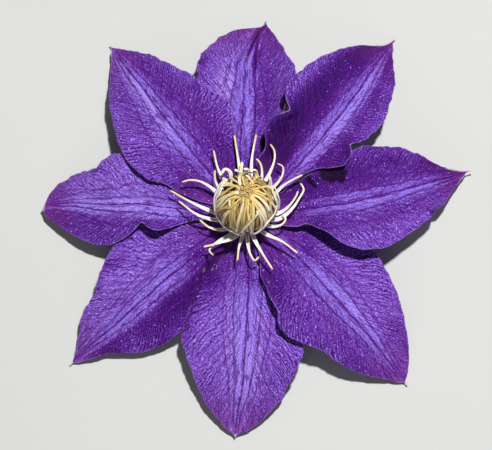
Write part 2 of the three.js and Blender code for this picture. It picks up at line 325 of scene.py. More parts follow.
def bladeVeinGroup():
    # ribs, side veins and wrinkles from the blade's own map, distances in millimetres
    t, given = openGroup("bladeVeins", "Blade Map", (
        "Half Width", "From Rib", "Length", "Rib Spacing", "Outer Rib Spacing", "Rib Width", "Net Width",
        "Wrinkle Spacing", "Seed"))
    netWidth, wrinkles = given["Net Width"], given["Wrinkle Spacing"]
    along, across, _ = split(t, given["Blade Map"])
    reach = sizeOf(t, timesPlus(t, across, 2.0, -1.0))
    distance = times(t, along, given["Length"])
    place = vector(t, distance, given["From Rib"], given["Seed"])

    # ribs wander a little; they keep apart in the middle and meet at the foot and the tip
    bend = noise(t, place, 0.09, 2.0)
    tremble = noise(t, place, 0.5, 3.0, 0.6)
    shift = plus(t, timesPlus(t, bend, 2.6, -1.3), timesPlus(t, tremble, 2.0, -1.0))
    wandering = timesPlus(t, shift, 0.6, given["From Rib"])
    ribAside = sizeOf(t, wandering)
    spread = floatCurve(t, along, tepalFinish["ribSpread"])
    ribs = 0.0
    for spacing, strength in ((0.0, 1.0), (given["Rib Spacing"], 0.85), (given["Outer Rib Spacing"], 0.6)):
        gap = sizeOf(t, minus(t, ribAside, times(t, spread, spacing)))
        ribs = larger(t, ribs, ramp(t, over(t, gap, given["Rib Width"]), 0.3, 1.1, strength, 0.0))
    ribs = times(t, ribs, ramp(t, along, 1.0, 0.93, 0.2, 1.0))
    ribs = times(t, ribs, ramp(t, tremble, 0.35, 0.55, 0.6, 1.0))
    bar = ramp(t, over(t, ribAside, timesPlus(t, spread, 5.4, 0.8)), 0.5, 1.35, 1.0, 0.0)

    # thin threads run lengthwise between the ribs, bending and joining
    threadAside = over(t, wandering, timesPlus(t, spread, 1.3, 0.5))
    thread = noise(t, vector(t, over(t, distance, 13.0), threadAside, given["Seed"]), 1.0, 1.5)
    threads = ramp(t, sizeOf(t, minus(t, thread, 0.5)), 0.005, 0.04, 0.9, 0.0)
    threads = times(t, threads, ramp(t, ribAside, 7.0, 13.0, 1.0, 0.0))

    # side veins leave the ribs at a sharp angle and swing out towards the margin
    swing = times(t, times(t, ribAside, ribAside), ramp(t, along, 0.6, 1.0, 0.037, 0.012))
    swing = timesPlus(t, ribAside, -2.0, swing)
    course = plus(t, plus(t, distance, swing), times(t, bend, 5.0))
    sway = noise(t, place, 0.2, 2.0)
    patch = noise(t, place, 0.33, 2.0)
    longVeins = ramp(t, lineGap(t, course, times(t, netWidth, 2.1), sway, 1.6), 0.02, 0.12, 1.0, 0.0)
    fineVeins = ramp(t, lineGap(t, course, netWidth, sway, 2.4), 0.02, 0.18, 0.9, 0.0)
    veins = larger(t, longVeins, times(t, fineVeins, ramp(t, patch, 0.42, 0.56, 0.4, 1.0)))
    veins = times(t, veins, ramp(t, tremble, 0.3, 0.6, 0.6, 1.0))
    veins = times(t, veins, ramp(t, reach, 0.5, 1.0, 1.0, 0.5))
    veins = times(t, veins, ramp(t, ribAside, 1.0, 3.5, 0.3, 1.0))
    veins = larger(t, veins, threads)

    # fine wrinkles cross the blade, closer and deeper towards the margin, and lean forward at the tip
    lean = ramp(t, along, 0.3, 1.0, -0.25, -1.3)
    crossing = plus(t, timesPlus(t, ribAside, lean, distance), times(t, bend, 4.0))
    fine = lineGap(t, crossing, wrinkles, tremble, 1.1)
    coarse = lineGap(t, crossing, times(t, wrinkles, 1.6), patch, 2.2)
    mixed = timesPlus(t, minus(t, coarse, fine), ramp(t, patch, 0.44, 0.54), fine)
    relief = timesPlus(t, mixed, 4.0, -1.0)  # -1 in a wrinkle, 1 on the swelling beside it
    relief = times(t, relief, timesPlus(t, ramp(t, reach, 0.2, 0.75), 0.7, 0.3))
    relief = times(t, relief, ramp(t, sway, 0.36, 0.6, 0.35, 1.0))

    # short ties join the side veins into a net
    ties = ramp(t, lineGap(t, crossing, times(t, netWidth, 1.25), sway, 3.2), 0.0, 0.13, 0.6, 0.0)
    ties = times(t, ties, ramp(t, ribAside, 1.5, 4.0))
    veins = larger(t, veins, times(t, ties, ramp(t, patch, 0.6, 0.42, 0.25, 1.0)))

    inside = times(t, minus(t, 1.0, reach), given["Half Width"])
    left = times(t, minus(t, 1.0, along), given["Length"])
    sunk = plus(t, times(t, ribs, 0.9), times(t, veins, 0.6))
    return closeGroup(t, {
        "Ribs": ribs, "Veins": veins, "Bar": bar, "Relief": relief, "Along": along,
        "Rim": times(t, ramp(t, inside, 0.1, 0.5, 1.0, 0.0), ramp(t, bend, 0.35, 0.62, 0.25, 1.0)),
        "Tip": ramp(t, left, 0.3, 1.2, 1.0, 0.0),
        "Height": minus(t, times(t, relief, 0.35), sunk),
    })


def velvetGroup():
    # tiny bright specks that are painted glints, a fine nap, a grit of dark and pale cells and a soft mottle
    t, given = openGroup("velvet", "Position", ["Glint Spacing"])
    place = vectorCalc(t, "MULTIPLY", given["Position"], (1 / mm, 1 / mm, 1 / mm))
    cells = addNode(t, "ShaderNodeTexVoronoi", None, Vector=place, Scale=over(t, 1.0, given["Glint Spacing"]))
    dot = ramp(t, cells.outputs["Distance"], 0.14, 0.32, 1.0, 0.0)
    pick = addNode(t, "ShaderNodeSeparateColor", None, Color=cells.outputs["Color"])
    return closeGroup(t, {
        "Glints": times(t, dot, ramp(t, pick.outputs[0], 0.6, 0.98)),
        "Mottle": noise(t, place, 0.12, 3.0),
        "Nap": noise(t, place, 1.9, 2.0, 0.6),
        "Grit": noise(t, place, 1.0, 1.0),
    })


bladeVeins = bladeVeinGroup()
velvet = velvetGroup()


def placedVeins(tree, length, number):
    look = tepalFinish
    return placeGroup(tree, bladeVeins, {
        "Blade Map": mapped(tree, "blade"), "Half Width": painted(tree, "halfWidth"),
        "From Rib": painted(tree, "fromRib"), "Length": length, "Seed": number * look["seedStep"],
        "Rib Width": look["ribWidth"], "Rib Spacing": tepalTraits[number]["ribSpacing"],
        "Outer Rib Spacing": look["outerRibSpacing"], "Net Width": look["netWidth"],
        "Wrinkle Spacing": look["wrinkleSpacing"]})


def placedVelvet(tree, spacing):
    return placeGroup(tree, velvet, {"Position": objectPlace(tree), "Glint Spacing": spacing})


def tepalMaterial(name, length, number):
    material, tree = newMaterial(name)
    look = tepalFinish
    veins = placedVeins(tree, length, number)
    velvetHere = placedVelvet(tree, look["glintSpacing"])
    along, relief, nap = veins["Along"], veins["Relief"], velvetHere["Nap"]
    grain = (
        # the wrinkles are painted into the tone too: painted shade in each wrinkle, painted highlight on the
        # swelling beside it
        times(tree, relief, 0.18),
        ramp(tree, relief, -0.25, -0.75, 0.0, -0.18),
        centred(tree, nap, 1.15),
        centred(tree, velvetHere["Grit"], 0.14),
        centred(tree, velvetHere["Mottle"], 0.2),
        # painted glints, stronger towards the foot
        times(tree, velvetHere["Glints"], ramp(tree, along, 0.2, 0.45, 1.5, 0.8)),
    )
    tone = painted(tree, "tone")
    strength = ramp(tree, tone, -0.2, 0.2)  # the deepest shade stays even
    # painted deep shade where the painted tone runs far below the darkest colour, as in the spots under
    # neighbours' margins
    paintedShadow = ramp(tree, tone, -0.35, -0.7)
    for part in grain:
        tone = timesPlus(tree, part, strength, tone)
    blade = addNode(tree, "ShaderNodeValToRGB", None, Fac=tone)
    stops = blade.color_ramp.elements
    stops[0].color, stops[1].color = look["darkest"], look["pale"]
    for position, title in look["stops"]:
        stops.new(position).color = look[title]
    barHere = times(tree, veins["Bar"], ramp(tree, along, 0.06, 0.34, 0.3, 1.0))
    barHere = times(tree, barHere, ramp(tree, along, 1.0, 0.74, 0.15, 1.0))
    flush = larger(tree, ramp(tree, along, 0.3, 0.08, 0.0, 0.45), ramp(tree, along, 0.76, 1.0, 0.0, 0.5))
    shade = layered(
        tree, blade.outputs[0],
        (times(tree, barHere, ramp(tree, tone, 0.3, 0.6, 0.0, 0.32)), look["bar"]),
        (flush, look["flush"]),
        (times(tree, veins["Veins"], 0.92), look["rib"]),
        (times(tree, veins["Ribs"], 0.95), look["rib"]),
        (paintedShadow, look["paintedShadow"]),
        (times(tree, veins["Rim"], 0.4), look["rim"]),
        # the whitish tip, and rims that are pale tissue near the tips and a painted highlight on curled
        # margins
        (larger(tree, veins["Tip"], painted(tree, "rimLight")), look["tip"]),
        (painted(tree, "fleck"), look["fleck"]),
    )
    roughness = timesPlus(tree, nap, 0.3, 0.42)
    raised = plus(tree, nap, veins["Height"])
    return finishMaterial(material, shade, roughness, raised, 0.8, look["reliefDepth"], {
        "Specular IOR Level": 0.08,
        "Sheen Weight": 0.015,
        "Sheen Roughness": 0.4,
        "Sheen Tint": look["sheen"],
    })


def underMaterial(name, length, number):
    material, tree = newMaterial(name)
    look = tepalFinish
    veins = placedVeins(tree, length, number)
    velvetHere = placedVelvet(tree, look["underGlintSpacing"])
    shade = layered(
        tree, look["under"],
        (ramp(tree, velvetHere["Mottle"], 0.3, 0.7), look["lavender"]),
        (times(tree, veins["Bar"], 0.6), look["underBar"]),
        # painted shade in the wrinkles
        (ramp(tree, veins["Relief"], 0.2, -0.8, 0.0, 0.3), look["violet"]),
        (times(tree, veins["Veins"], 0.35), look["violet"]),
        (times(tree, veins["Ribs"], 0.6), look["rib"]),
    )
    nap = velvetHere["Nap"]
    raised = minus(tree, times(tree, nap, 0.6), veins["Height"])
    return finishMaterial(material, shade, timesPlus(tree, nap, 0.2, 0.55), raised, 0.7, look["reliefDepth"],
                          {"Sheen Weight": 0.2})


tepalLook = {
    "along": 170,         # faces from foot to tip
    "across": 84,         # faces from margin to margin
    "thickness": 0.32,    # millimetres in the middle
    "rimShare": 0.4,      # of that at the margin
    "grooveDepth": 0.14,
    "grooveWidth": 0.5,
    "crown": 0.25,        # how far the bands between the ribs swell
    "fold": 0.1,          # depth of the soft folds along the side veins
    "foldSpacing": 4.6,
    "swell": 0.3,         # height of the broad swellings in the middle
    "pointShare": 0.972,  # where the tip starts to draw out to a point
}

# Left and right are as seen looking outwards, and left is the plus side. Places along a tepal are
# shares of its length and places aside are millimetres from the straight line from foot to tip.
# ribLine is where the midrib runs, and ribSpacing the gap to the next rib. tone goes from 0, the
# darkest, to 1, the palest, at distances aside from the midrib: it holds the tepal's own pale bar and
# deeper margins, and painted shade on the halves that slope away from the light. cup is how far each
# half rises between its ribs and its margin, right and left, ruffle the height of the waves at each
# margin, and hook how far the tip runs out to a point.
# edges move a stretch of the margin: side, place, half length, out and up in millimetres.
# marks change the tone in a spot: place, aside, half length and half width in millimetres, turn in
# degrees, tone. Paler ones follow the tepal's own colour; darker ones are painted shade from folds and
# neighbouring margins, together with some deeper colour.
# shadowPatches are spots of painted deep shade under a neighbour's raised margin, given the same way.
# flecks are spots of dry brown, given the same way. rims are whitish stretches of margin, pale
# tissue near the tips and a painted highlight where a curled margin catches the light: side, first and
# last place, width in millimetres, strength. creases are sharp folds: two or more places that the fold
# runs through, then its depth and half width in millimetres; each one also gets painted shade along it.
tepalTraits = {
    1: {
        "ribLine": ((0.1, 1.0), (0.3, 2.0), (0.5, 2.4), (0.7, 1.8), (0.9, 0.8), (1.0, 0.0)),
        "ribSpacing": 3.7, "cup": (1.6, 0), "ruffle": (0.5, 0.3), "hook": 1.0,
        "tone": ((-19, 0.48), (-9, 0.37), (-5, 0.38), (-3, 0.52), (0, 0.58), (0.7, 0.78), (3.8, 0.79),
                 (5.0, 0.6), (9, 0.5), (20, 0.48)),
        "rims": ((1, 0.965, 1, 0.6, 0.8),),
        "edges": ((-1, 0.46, 0.07, 1.8, 0), (-1, 0.6, 0.02, -0.8, 0.5), (1, 0.33, 0.03, 0.9, 0.6)),
        "marks": ((0.4, -9, 12, 5, 0, -0.08), (0.6, -14.5, 1.5, 2.5, 30, -0.2), (0.75, 3.6, 9, 1.5, 0, 0.08),
                  (0.56, 3.6, 8, 1.6, 0, 0.1), (0.22, 8, 9, 7, 0, -0.12), (0.34, 4.4, 9, 2.0, 0, -0.2),
                  (0.42, -5, 12, 3, 0, 0.1), (0.68, -0.6, 14, 1.5, 0, 0.12), (0.9, 0, 7, 7, 0, 0.08)),
        "flecks": ((0.287, 7.4, 0.55, 0.45, 0), (0.31, 8.8, 0.3, 0.25, 40)),
    },
    2: {
        "ribLine": ((0.1, 2.5), (0.3, 4.4), (0.5, 4.8), (0.7, 5.2), (0.8, 5.4), (1.0, 0.6)),
        "ribSpacing": 4.6, "cup": (1.2, 0.4), "ruffle": (0.3, 0.55), "hook": 1.5,
        "tone": ((-16, 0.46), (-11, 0.44), (-8, 0.42), (-5.7, 0.42), (-5.3, 0.68), (-2, 0.66), (0, 0.61),
                 (4, 0.62), (7, 0.74), (10, 0.68), (17, 0.54)),
        "edges": ((1, 0.88, 0.02, -1.0, 0.4), (1, 0.75, 0.05, 0.6, 0.6), (-1, 0.86, 0.02, 0.5, 0)),
        "marks": ((0.6, -3.5, 14, 2.2, 0, -0.08), (0.8, 2.3, 10, 0.6, 0, -0.5), (0.65, 11.5, 7, 2.4, 0, 0.14),
                  (0.91, 3.1, 4.6, 0.75, -13, -0.75), (0.975, 1.3, 2.6, 1.1, -35, -0.6),
                  (0.76, 21, 5, 2.4, 0, -0.2), (0.25, 3, 6, 10, 0, -0.2), (0.45, 8, 7, 4, 0, -0.08)),
        "shadowPatches": ((0.545, -9.6, 3.2, 1.4, 0), (0.35, -4.2, 4.4, 1.8, 8)),
        "flecks": ((0.803, 5.5, 0.8, 0.6, 0),),
        "creases": ((((0.3, 0.6), (0.5, 0.3), (0.66, 1.3), (0.8, 2.4), (0.93, 2.0)), 0.6, 0.55),
                    (((0.8, 5.4), (0.85, 4.3), (0.9, 3.3), (0.95, 2.2), (0.995, 0.2)), 0.6, 0.6)),
    },
    3: {
        "ribLine": ((0.1, -1.5), (0.25, -3.4), (0.45, -4.4), (0.6, -4.1), (0.75, -3.0), (0.9, -1.2), (1, 0)),
        "ribSpacing": 4.4, "cup": (0, 1.6), "ruffle": (0.5, 0.3), "hook": 1.0,
        "tone": ((-16, 0.44), (-9, 0.38), (-5.4, 0.42), (-4.4, 0.7), (-1.0, 0.8), (0, 0.56), (3.8, 0.52),
                 (5.0, 0.28), (8, 0.12), (12, 0.04), (16, 0.14), (20, 0.4)),
        "rims": ((1, 0.935, 1, 0.7, 0.85), (-1, 0.97, 1, 0.5, 0.6), (1, 0.41, 0.47, 0.4, 0.25),
                 (-1, 0.44, 0.48, 0.4, 0.4)),
        "edges": ((1, 0.44, 0.026, -3.0, 0.6), (1, 0.37, 0.03, 0.8, 1.2), (1, 0.265, 0.04, -2.4, 0.4),
                  (-1, 0.38, 0.05, 2.6, 1.8), (-1, 0.475, 0.02, -1.0, -0.4), (1, 0.62, 0.02, -0.5, 0.3)),
        "marks": ((0.36, 7.5, 11, 4, 0, -0.12), (0.44, -15, 6, 3, 20, -0.24), (0.39, -13.5, 5, 3, -20, -0.12),
                  (0.6, 14, 10, 2.5, 0, 0.08), (0.97, 0.8, 3.5, 0.8, 0, -0.3), (0.3, 3.5, 8, 3, 0, -0.16),
                  (0.92, -3, 7, 3, 0, -0.24), (0.66, 1.6, 10, 2.6, 0, 0.16), (0.74, 5, 6, 2.2, 0, 0.12),
                  (0.4, -9, 9, 2.6, 0, -0.12)),
        "creases": ((((0.32, 9.5), (0.37, 10), (0.42, 8.5), (0.45, 7)), 0.5, 0.8),),
    },
    4: {
        "ribLine": ((0.1, -1.0), (0.25, -3.0), (0.45, -4.6), (0.6, -4.6), (0.75, -3.2), (0.9, -1.5), (1, 0)),
        "ribSpacing": 3.9, "cup": (0.8, 1.2), "ruffle": (0.25, 0.45), "hook": 1.6,
        "tone": ((-15, 0.5), (-9, 0.44), (-5, 0.46), (-3.6, 0.64), (-0.8, 0.64), (0, 0.42), (0.8, 0.5),
                 (3.4, 0.56), (4.8, 0.34), (8, 0.26), (13, 0.2), (18, 0.36)),
        "rims": ((1, 0.91, 1, 0.5, 0.8), (-1, 0.94, 1, 0.4, 0.6)),
        "edges": ((-1, 0.8, 0.012, -1.4, 0.8), (1, 0.8, 0.015, 0.5, 0.3), (-1, 0.35, 0.14, 0.3, 2.6),
                  (-1, 0.57, 0.08, 0, -0.9), (-1, 0.24, 0.03, -0.8, 0.5), (1, 0.36, 0.08, 2.0, 0),
                  (-1, 0.315, 0.05, 2.0, 0.2), (-1, 0.5, 0.13, 1.5, 0)),
        "shadowPatches": ((0.415, 6.7, 4.8, 2.2, 0), (0.44, 5.6, 1.6, 2.2, 0), (0.31, 6.0, 0.8, 2.6, 35)),
        "marks": ((0.785, -14.6, 0.7, 2.4, 35, -0.35), (0.35, -7, 8, 3, 0, -0.08), (0.2, -7.5, 5, 2, 0, 0.16),
                  (0.94, 0.6, 4, 0.6, 0, -0.25), (0.92, -1.6, 5, 3, 0, -0.12), (0.66, 4, 10, 3, 0, 0.13),
                  (0.76, 7, 5, 3, 0, 0.13), (0.19, -3.6, 5, 3.6, 0, -0.2)),
    },
    5: {
        "ribLine": ((0.1, 1.8), (0.3, 2.5), (0.5, 1.9), (0.7, 1.2), (0.9, 0.4), (1.0, 0.0)),
        "ribSpacing": 4.4, "cup": (1.2, -1.0), "ruffle": (0.4, 0.25), "hook": 1.0,
        "tone": ((-22, 0.38), (-14, 0.35), (-7, 0.5), (-4.8, 0.52), (-3.6, 0.62), (-0.6, 0.66), (0, 0.52),
                 (0.8, 0.68), (3.6, 0.68), (5, 0.58), (12, 0.56), (20, 0.5)),
        "rims": ((-1, 0.98, 1, 0.5, 0.6),),
        "edges": ((-1, 0.38, 0.12, 0.2, 2.2), (-1, 0.3, 0.03, -0.8, 0), (1, 0.33, 0.04, -0.5, 0),
                  (1, 0.26, 0.05, 3.2, -1.0)),
        "marks": ((0.3, -13, 9, 7, 0, -0.1), (0.4, -9, 5, 4, 0, 0.04), (0.62, 4, 9, 1.8, 0, 0.08),
                  (0.65, 14, 10, 2, 0, 0.05), (0.31, 6, 7, 4, 0, -0.2), (0.34, 0.4, 8, 2, 0, -0.1),
                  (0.82, 10, 6, 4, 0, -0.12), (0.62, -12, 12, 6, 0, 0.05)),
        "flecks": ((0.3, -12.5, 0.6, 0.4, 0), (0.335, -15.5, 0.4, 0.3, 30)),
    },
    6: {
        "ribLine": ((0.1, 0.8), (0.3, 2.0), (0.55, 2.1), (0.75, 1.8), (0.9, 0.6), (1.0, 0.0)),
        "ribSpacing": 4.9, "cup": (0, 0), "ruffle": (0.35, 0.35), "hook": 0.3,
        "tone": ((-23, 0.52), (-16, 0.58), (-8, 0.63), (-4.4, 0.76), (0, 0.7), (4.4, 0.76), (8, 0.63),
                 (14, 0.57), (22, 0.52)),
        "edges": ((-1, 0.55, 0.02, -0.5, 0), (-1, 0.93, 0.02, -0.6, 0.2), (1, 0.74, 0.02, 0.4, 0.2)),
        "marks": ((0.27, -11, 10, 4, 0, -0.28), (0.42, -17, 9, 3, -15, -0.16), (0.15, 0, 7, 12, 0, -0.14),
                  (0.72, 13, 7, 4, 0, -0.05), (0.66, 1.5, 14, 5, 0, 0.08), (0.3, 2.6, 7, 5.5, 0, -0.25),
                  (0.5, -20, 9, 3, 0, -0.14)),
        "flecks": ((0.6, 6, 0.5, 0.3, 20),),
    },
    7: {
        "ribLine": ((0.1, 0.0), (0.4, 0.2), (0.6, 0.6), (0.8, 0.3), (1.0, 0.0)),
        "ribSpacing": 3.6, "cup": (0, -1.6), "ruffle": (0.4, 0.2), "hook": 0.8,
        "tone": ((-20, 0.5), (-15, 0.6), (-8, 0.64), (-3, 0.68), (0, 0.58), (1, 0.66), (3.6, 0.62),
                 (4.6, 0.52), (6, 0.26), (10, 0.18), (14, 0.24), (18, 0.3)),
        "edges": ((-1, 0.66, 0.04, 0.4, 0.6), (-1, 0.86, 0.03, -0.6, 0), (1, 0.86, 0.02, -0.4, 0.2),
                  (-1, 0.415, 0.055, 4.8, -1.4)),
        "marks": ((0.45, 8, 9, 3.5, 0, -0.14), (0.75, 10, 9, 5, 0, 0.16), (0.65, -19, 7, 1.8, -15, -0.24),
                  (0.16, 3, 5, 8, 0, -0.2), (0.28, 0.6, 8, 4.4, 0, -0.26), (0.68, 6, 8, 2.4, 0, 0.08),
                  (0.36, -7, 6, 4, 0, -0.08), (0.9, 0, 7, 7, 0, 0.08)),
        "flecks": ((0.3, 5.6, 0.9, 0.4, 20), (0.265, 7.0, 0.7, 0.3, 50), (0.35, 6.6, 0.4, 0.25, 0)),
    },
    8: {
        "ribLine": ((0.1, 0.0), (0.3, -0.4), (0.5, -0.8), (0.7, -0.4), (0.85, -1.8), (1.0, -1.0)),
        "ribSpacing": 3.3, "cup": (0, -0.8), "ruffle": (0.6, 0.2), "hook": 0.0,
        "tone": ((-22, 0.54), (-14, 0.62), (-5, 0.68), (-1, 0.77), (3.0, 0.8), (4.6, 0.7), (5.6, 0.46),
                 (8, 0.4), (12, 0.4)),
        "rims": ((-1, 0.74, 0.8, 0.5, 0.6),),
        "edges": ((1, 0.5, 0.028, -2.2, 0.4), (1, 0.4, 0.03, 0.8, 1.0), (1, 0.45, 0.16, 0, 2.4),
                  (-1, 0.76, 0.012, -1.2, 0.5), (-1, 0.7, 0.03, 0.9, 0.3)),
        "marks": ((0.76, -15, 6, 1.2, -25, -0.2), (0.95, -2, 4, 4, 0, -0.16), (0.24, 0, 5, 3.4, 0, -0.25),
                  (0.38, -6, 6, 5, 0, -0.12)),
        "flecks": ((0.37, -2.6, 0.6, 0.3, 20), (0.415, -1.6, 0.4, 0.25, 0)),
    },
}


def readTepal(node):
    # the upper face as rows of (outwards, aside, height) from foot to tip, right margin to left
    columns = 9
    sameSpot = 2e-6  # metres
    points, _ = mergedMesh(node)
    points = points[np.lexsort((points[:, 2], np.round(points[:, 1], 6), np.round(points[:, 0], 6)))]
    upper = [i for i in range(len(points))
             if i == len(points) - 1 or np.abs(points[i + 1, :2] - points[i, :2]).max() > sameSpot]
    upper = points[upper] - np.array([axisPoint.x, axisPoint.y, 0])
    reach = np.hypot(upper[:, 0], upper[:, 1])
    tip = upper[np.argsort(reach)[-columns:]].mean(axis=0)
    outward = tip[:2] / np.hypot(*tip[:2])
    aside = upper[:, 1] * outward[0] - upper[:, 0] * outward[1]
    local = np.stack([upper[:, :2] @ outward, aside, upper[:, 2]], 1)
    local = local[np.argsort(local[:, 0])].reshape(-1, columns, 3)
    return np.array([row[np.argsort(row[:, 1])] for row in local]), outward


def wander(place, seed):
    # a wave that never quite repeats, about -1 to 1
    return (np.sin(place * 0.57 + seed) + 0.8 * np.sin(place * 1.03 + seed * 2.3 + np.sin(place * 0.21))
            + 0.55 * np.sin(place * 1.87 + seed * 4.1)) / 2


def spot(s, aside, length, place):
    # a soft oval on a blade, 1 in its middle
    share, across, halfLength, halfWidth, turn = place[:5]
    x, y = (s - share) * length, aside - across
    c, d = math.cos(math.radians(turn)), math.sin(math.radians(turn))
    return np.exp(-(((x * c + y * d) / halfLength) ** 2 + ((y * c - x * d) / halfWidth) ** 2))


def ribLine(number, s):
    samples = 61
    return through(curve(tepalTraits[number]["ribLine"], samples), s)


def creaseRun(line, s):
    # how far aside a crease runs at each place, and where along the blade it shows
    start, end = line[0][0], line[-1][0]
    return through(line, s), smooth(start - 0.03, start + 0.03, s) * fall(end - 0.02, end + 0.02, s)


def shapeBlade(number, outwards, aside, height, across, length):
    # finer relief than the frame holds, all in millimetres
    traits, look = tepalTraits[number], tepalLook
    seed = number * tepalFinish["seedStep"]
    s = outwards / length
    left = across > 0
    side = np.where(left, 1.0, -1.0)
    reach = np.abs(across)
    away = np.abs(aside - ribLine(number, s))
    middle = smooth(0.08, 0.3, s) * fall(0.85, 1.0, s)

    # grooves over the ribs, with the bands between them swelling
    spread = through(tepalFinish["ribSpread"], s)
    first, second = traits["ribSpacing"] * spread, tepalFinish["outerRibSpacing"] * spread
    for place, share in ((0, 1.0), (first, 0.9), (second, 0.35)):
        height = height - look["grooveDepth"] * share * bell((away - place) / look["grooveWidth"]) * middle
    bands = np.sin(np.clip(away / first, 0, 1) * np.pi) + fall(0, 1, (away - first) / (second - first))
    height = height + look["crown"] * bands * middle

    # each half rises or falls away beyond its ribs
    halfWidth = np.maximum(np.abs(aside[:, [0, -1]]), 0.1)
    halfWidth = np.where(left, halfWidth[:, 1:], halfWidth[:, :1])
    cup = np.where(left, traits["cup"][1], traits["cup"][0])
    beyond = smooth(3.2, 3.5 + 0.8 * np.maximum(halfWidth - 3.2, 0.1), np.abs(aside))
    height = height + cup * beyond * smooth(0.1, 0.3, s) * fall(0.7, 1.0, s)

    # soft folds along the side veins, and waves that grow towards the margin
    course = outwards - 2.0 * away + 0.037 * away ** 2 * (1 - 0.67 * smooth(0.6, 1, s))
    folds = np.sin(course * 2 * np.pi / look["foldSpacing"] + 1.4 * np.sin(outwards / 9 + seed))
    height = height + look["fold"] * folds * smooth(0.15, 0.6, reach) * middle
    ruffle = np.where(left, traits["ruffle"][1], traits["ruffle"][0])
    waves = wander(outwards * 0.75, seed + side) * smooth(0.55, 1.0, reach)
    height = height + ruffle * waves * smooth(0.25, 0.5, s) * fall(0.9, 1.0, s)
    height = height + look["swell"] * np.sin(outwards / 6.5 + seed) * np.sin(aside / 7 + seed * 2) * middle

    # creases, and stretches of margin that bulge, draw in or curl up
    for line, depth, width in traits.get("creases", ()):
        run, shows = creaseRun(line, s)
        height = height - depth * bell((aside - run) / width) * shows
    for edge, place, half, out, up in traits["edges"]:
        pull = bell((s - place) / half) * (side == edge)
        aside = aside + edge * out * pull * smooth(0.5, 1.0, reach)
        height = height + up * pull * smooth(0.45, 1.0, reach)

    # an outline that wanders a little, and a tip drawn out to a point
    outline = wander(outwards * 1.6, seed * 3 + side) * smooth(0.75, 1.0, reach)
    aside = aside + side * ruffle * 0.6 * outline * smooth(0.12, 0.3, s) * smooth(0, 4, halfWidth)
    point = smooth(look["pointShare"], 1.0, s)
    outwards = outwards + traits["hook"] * point * (1 - reach)
    return outwards, aside * (1 - 0.75 * point), height + 0.35 * traits["hook"] * point


def paintBlade(number, outwards, aside, across, length):
    # what the finish reads at each place: distance from the midrib, tone with its painted shade, dry
    # flecks, and whitish rims that are partly a painted highlight
    traits = tepalTraits[number]
    s = outwards / length
    fromRib = aside - ribLine(number, s)
    tone = through(traits["tone"], fromRib / through(tepalFinish["toneSpread"], s))
    tone = tone - 0.14 * fall(0.22, 0.44, s) - 0.09 * smooth(0.76, 0.96, s)
    for mark in traits["marks"]:
        tone = tone + mark[5] * spot(s, aside, length, mark)
    # painted shade along each crease
    for line, depth, width in traits.get("creases", ()):
        run, shows = creaseRun(line, s)
        tone = tone - 0.8 * depth * bell((aside - run) / (0.5 * width)) * shows
    # painted deep shade under a neighbour's raised margin
    for place in traits.get("shadowPatches", ()):
        tone = tone - 1.2 * smooth(0.3, 0.5, spot(s, aside, length, place))
    fleck = np.zeros_like(tone)
    for place in traits.get("flecks", ()):
        fleck = np.maximum(fleck, smooth(0.25, 0.6, spot(s, aside, length, place)))
    rimLight = np.zeros_like(tone)
    for side, start, end, width, amount in traits.get("rims", ()):
        margin = aside[:, -1:] if side > 0 else aside[:, :1]
        near = fall(0.4 * width, width, np.abs(margin - aside)) * (across * side > 0)
        shows = smooth(start - 0.015, start + 0.015, s) * (1 - smooth(end - 0.01, end + 0.01, s) * (end < 1))
        rimLight = np.maximum(rimLight, amount * near * shows)
    return {"fromRib": fromRib, "tone": tone, "fleck": fleck, "rimLight": rimLight}


def makeTepal(number):
    node = f"tepal_{number}"
    rows, outward = readTepal(node)
    length = rows[-1, :, 0].mean() / mm
    facesAlong, facesAcross = tepalLook["along"], tepalLook["across"]
    deselectAll()
    bpy.ops.mesh.primitive_grid_add(x_subdivisions=facesAlong, y_subdivisions=facesAcross, size=2)
    piece = bpy.context.object
    piece.name = f"tepal_{number}_blade"
    mesh = piece.data
    flat = getCorners(mesh)
    i = np.round((flat[:, 0] + 1) / 2 * facesAlong).astype(int)
    j = np.round((flat[:, 1] + 1) / 2 * facesAcross).astype(int)
    surface = curve(curve(rows, facesAlong + 1).swapaxes(0, 1), facesAcross + 1).transpose(2, 1, 0) / mm
    across = np.broadcast_to(np.linspace(-1, 1, facesAcross + 1), surface[0].shape)
    marks = paintBlade(number, surface[0], surface[1], across, length)
    marks["halfWidth"] = np.where(across < 0, np.abs(surface[1][:, :1]), np.abs(surface[1][:, -1:]))
    for name, value in marks.items():
        mesh.attributes.new(name, "FLOAT", "POINT").data.foreach_set("value", value[i, j].astype(np.float32))
    outwards, aside, height = shapeBlade(number, *surface, across, length)
    x = axisPoint.x + (outwards * outward[0] - aside * outward[1]) * mm
    y = axisPoint.y + (outwards * outward[1] + aside * outward[0]) * mm
    setCorners(mesh, np.stack([x, y, height * mm], -1)[i, j])
    setMap(mesh, "blade", (surface[0] / length)[i, j], ((across + 1) / 2)[i, j])

    mesh.materials.append(tepalMaterial(f"tepalVelvet{number}", length, number))
    mesh.materials.append(underMaterial(f"tepalUnderside{number}", length, number))
    thick = piece.vertex_groups.new(name="thick")
    for v, weight in enumerate(fall(0.8, 1.0, np.abs(flat[:, 1]))):
        thick.add([v], float(weight), "REPLACE")
    only(piece)
    bpy.ops.object.modifier_add(type="SOLIDIFY")
    wall = piece.modifiers[-1]
    wall.thickness = tepalLook["thickness"] * mm
    wall.offset = -1
    wall.vertex_group = "thick"
    wall.thickness_vertex_group = tepalLook["rimShare"]
    wall.material_offset = 1
    wall.material_offset_rim = 0
    bpy.ops.object.modifier_apply(modifier=wall.name)
    bpy.ops.object.shade_smooth()
    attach(piece, "root")
    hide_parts(node)


for number in range(1, 9):
    makeTepal(number)
print("tepals done")


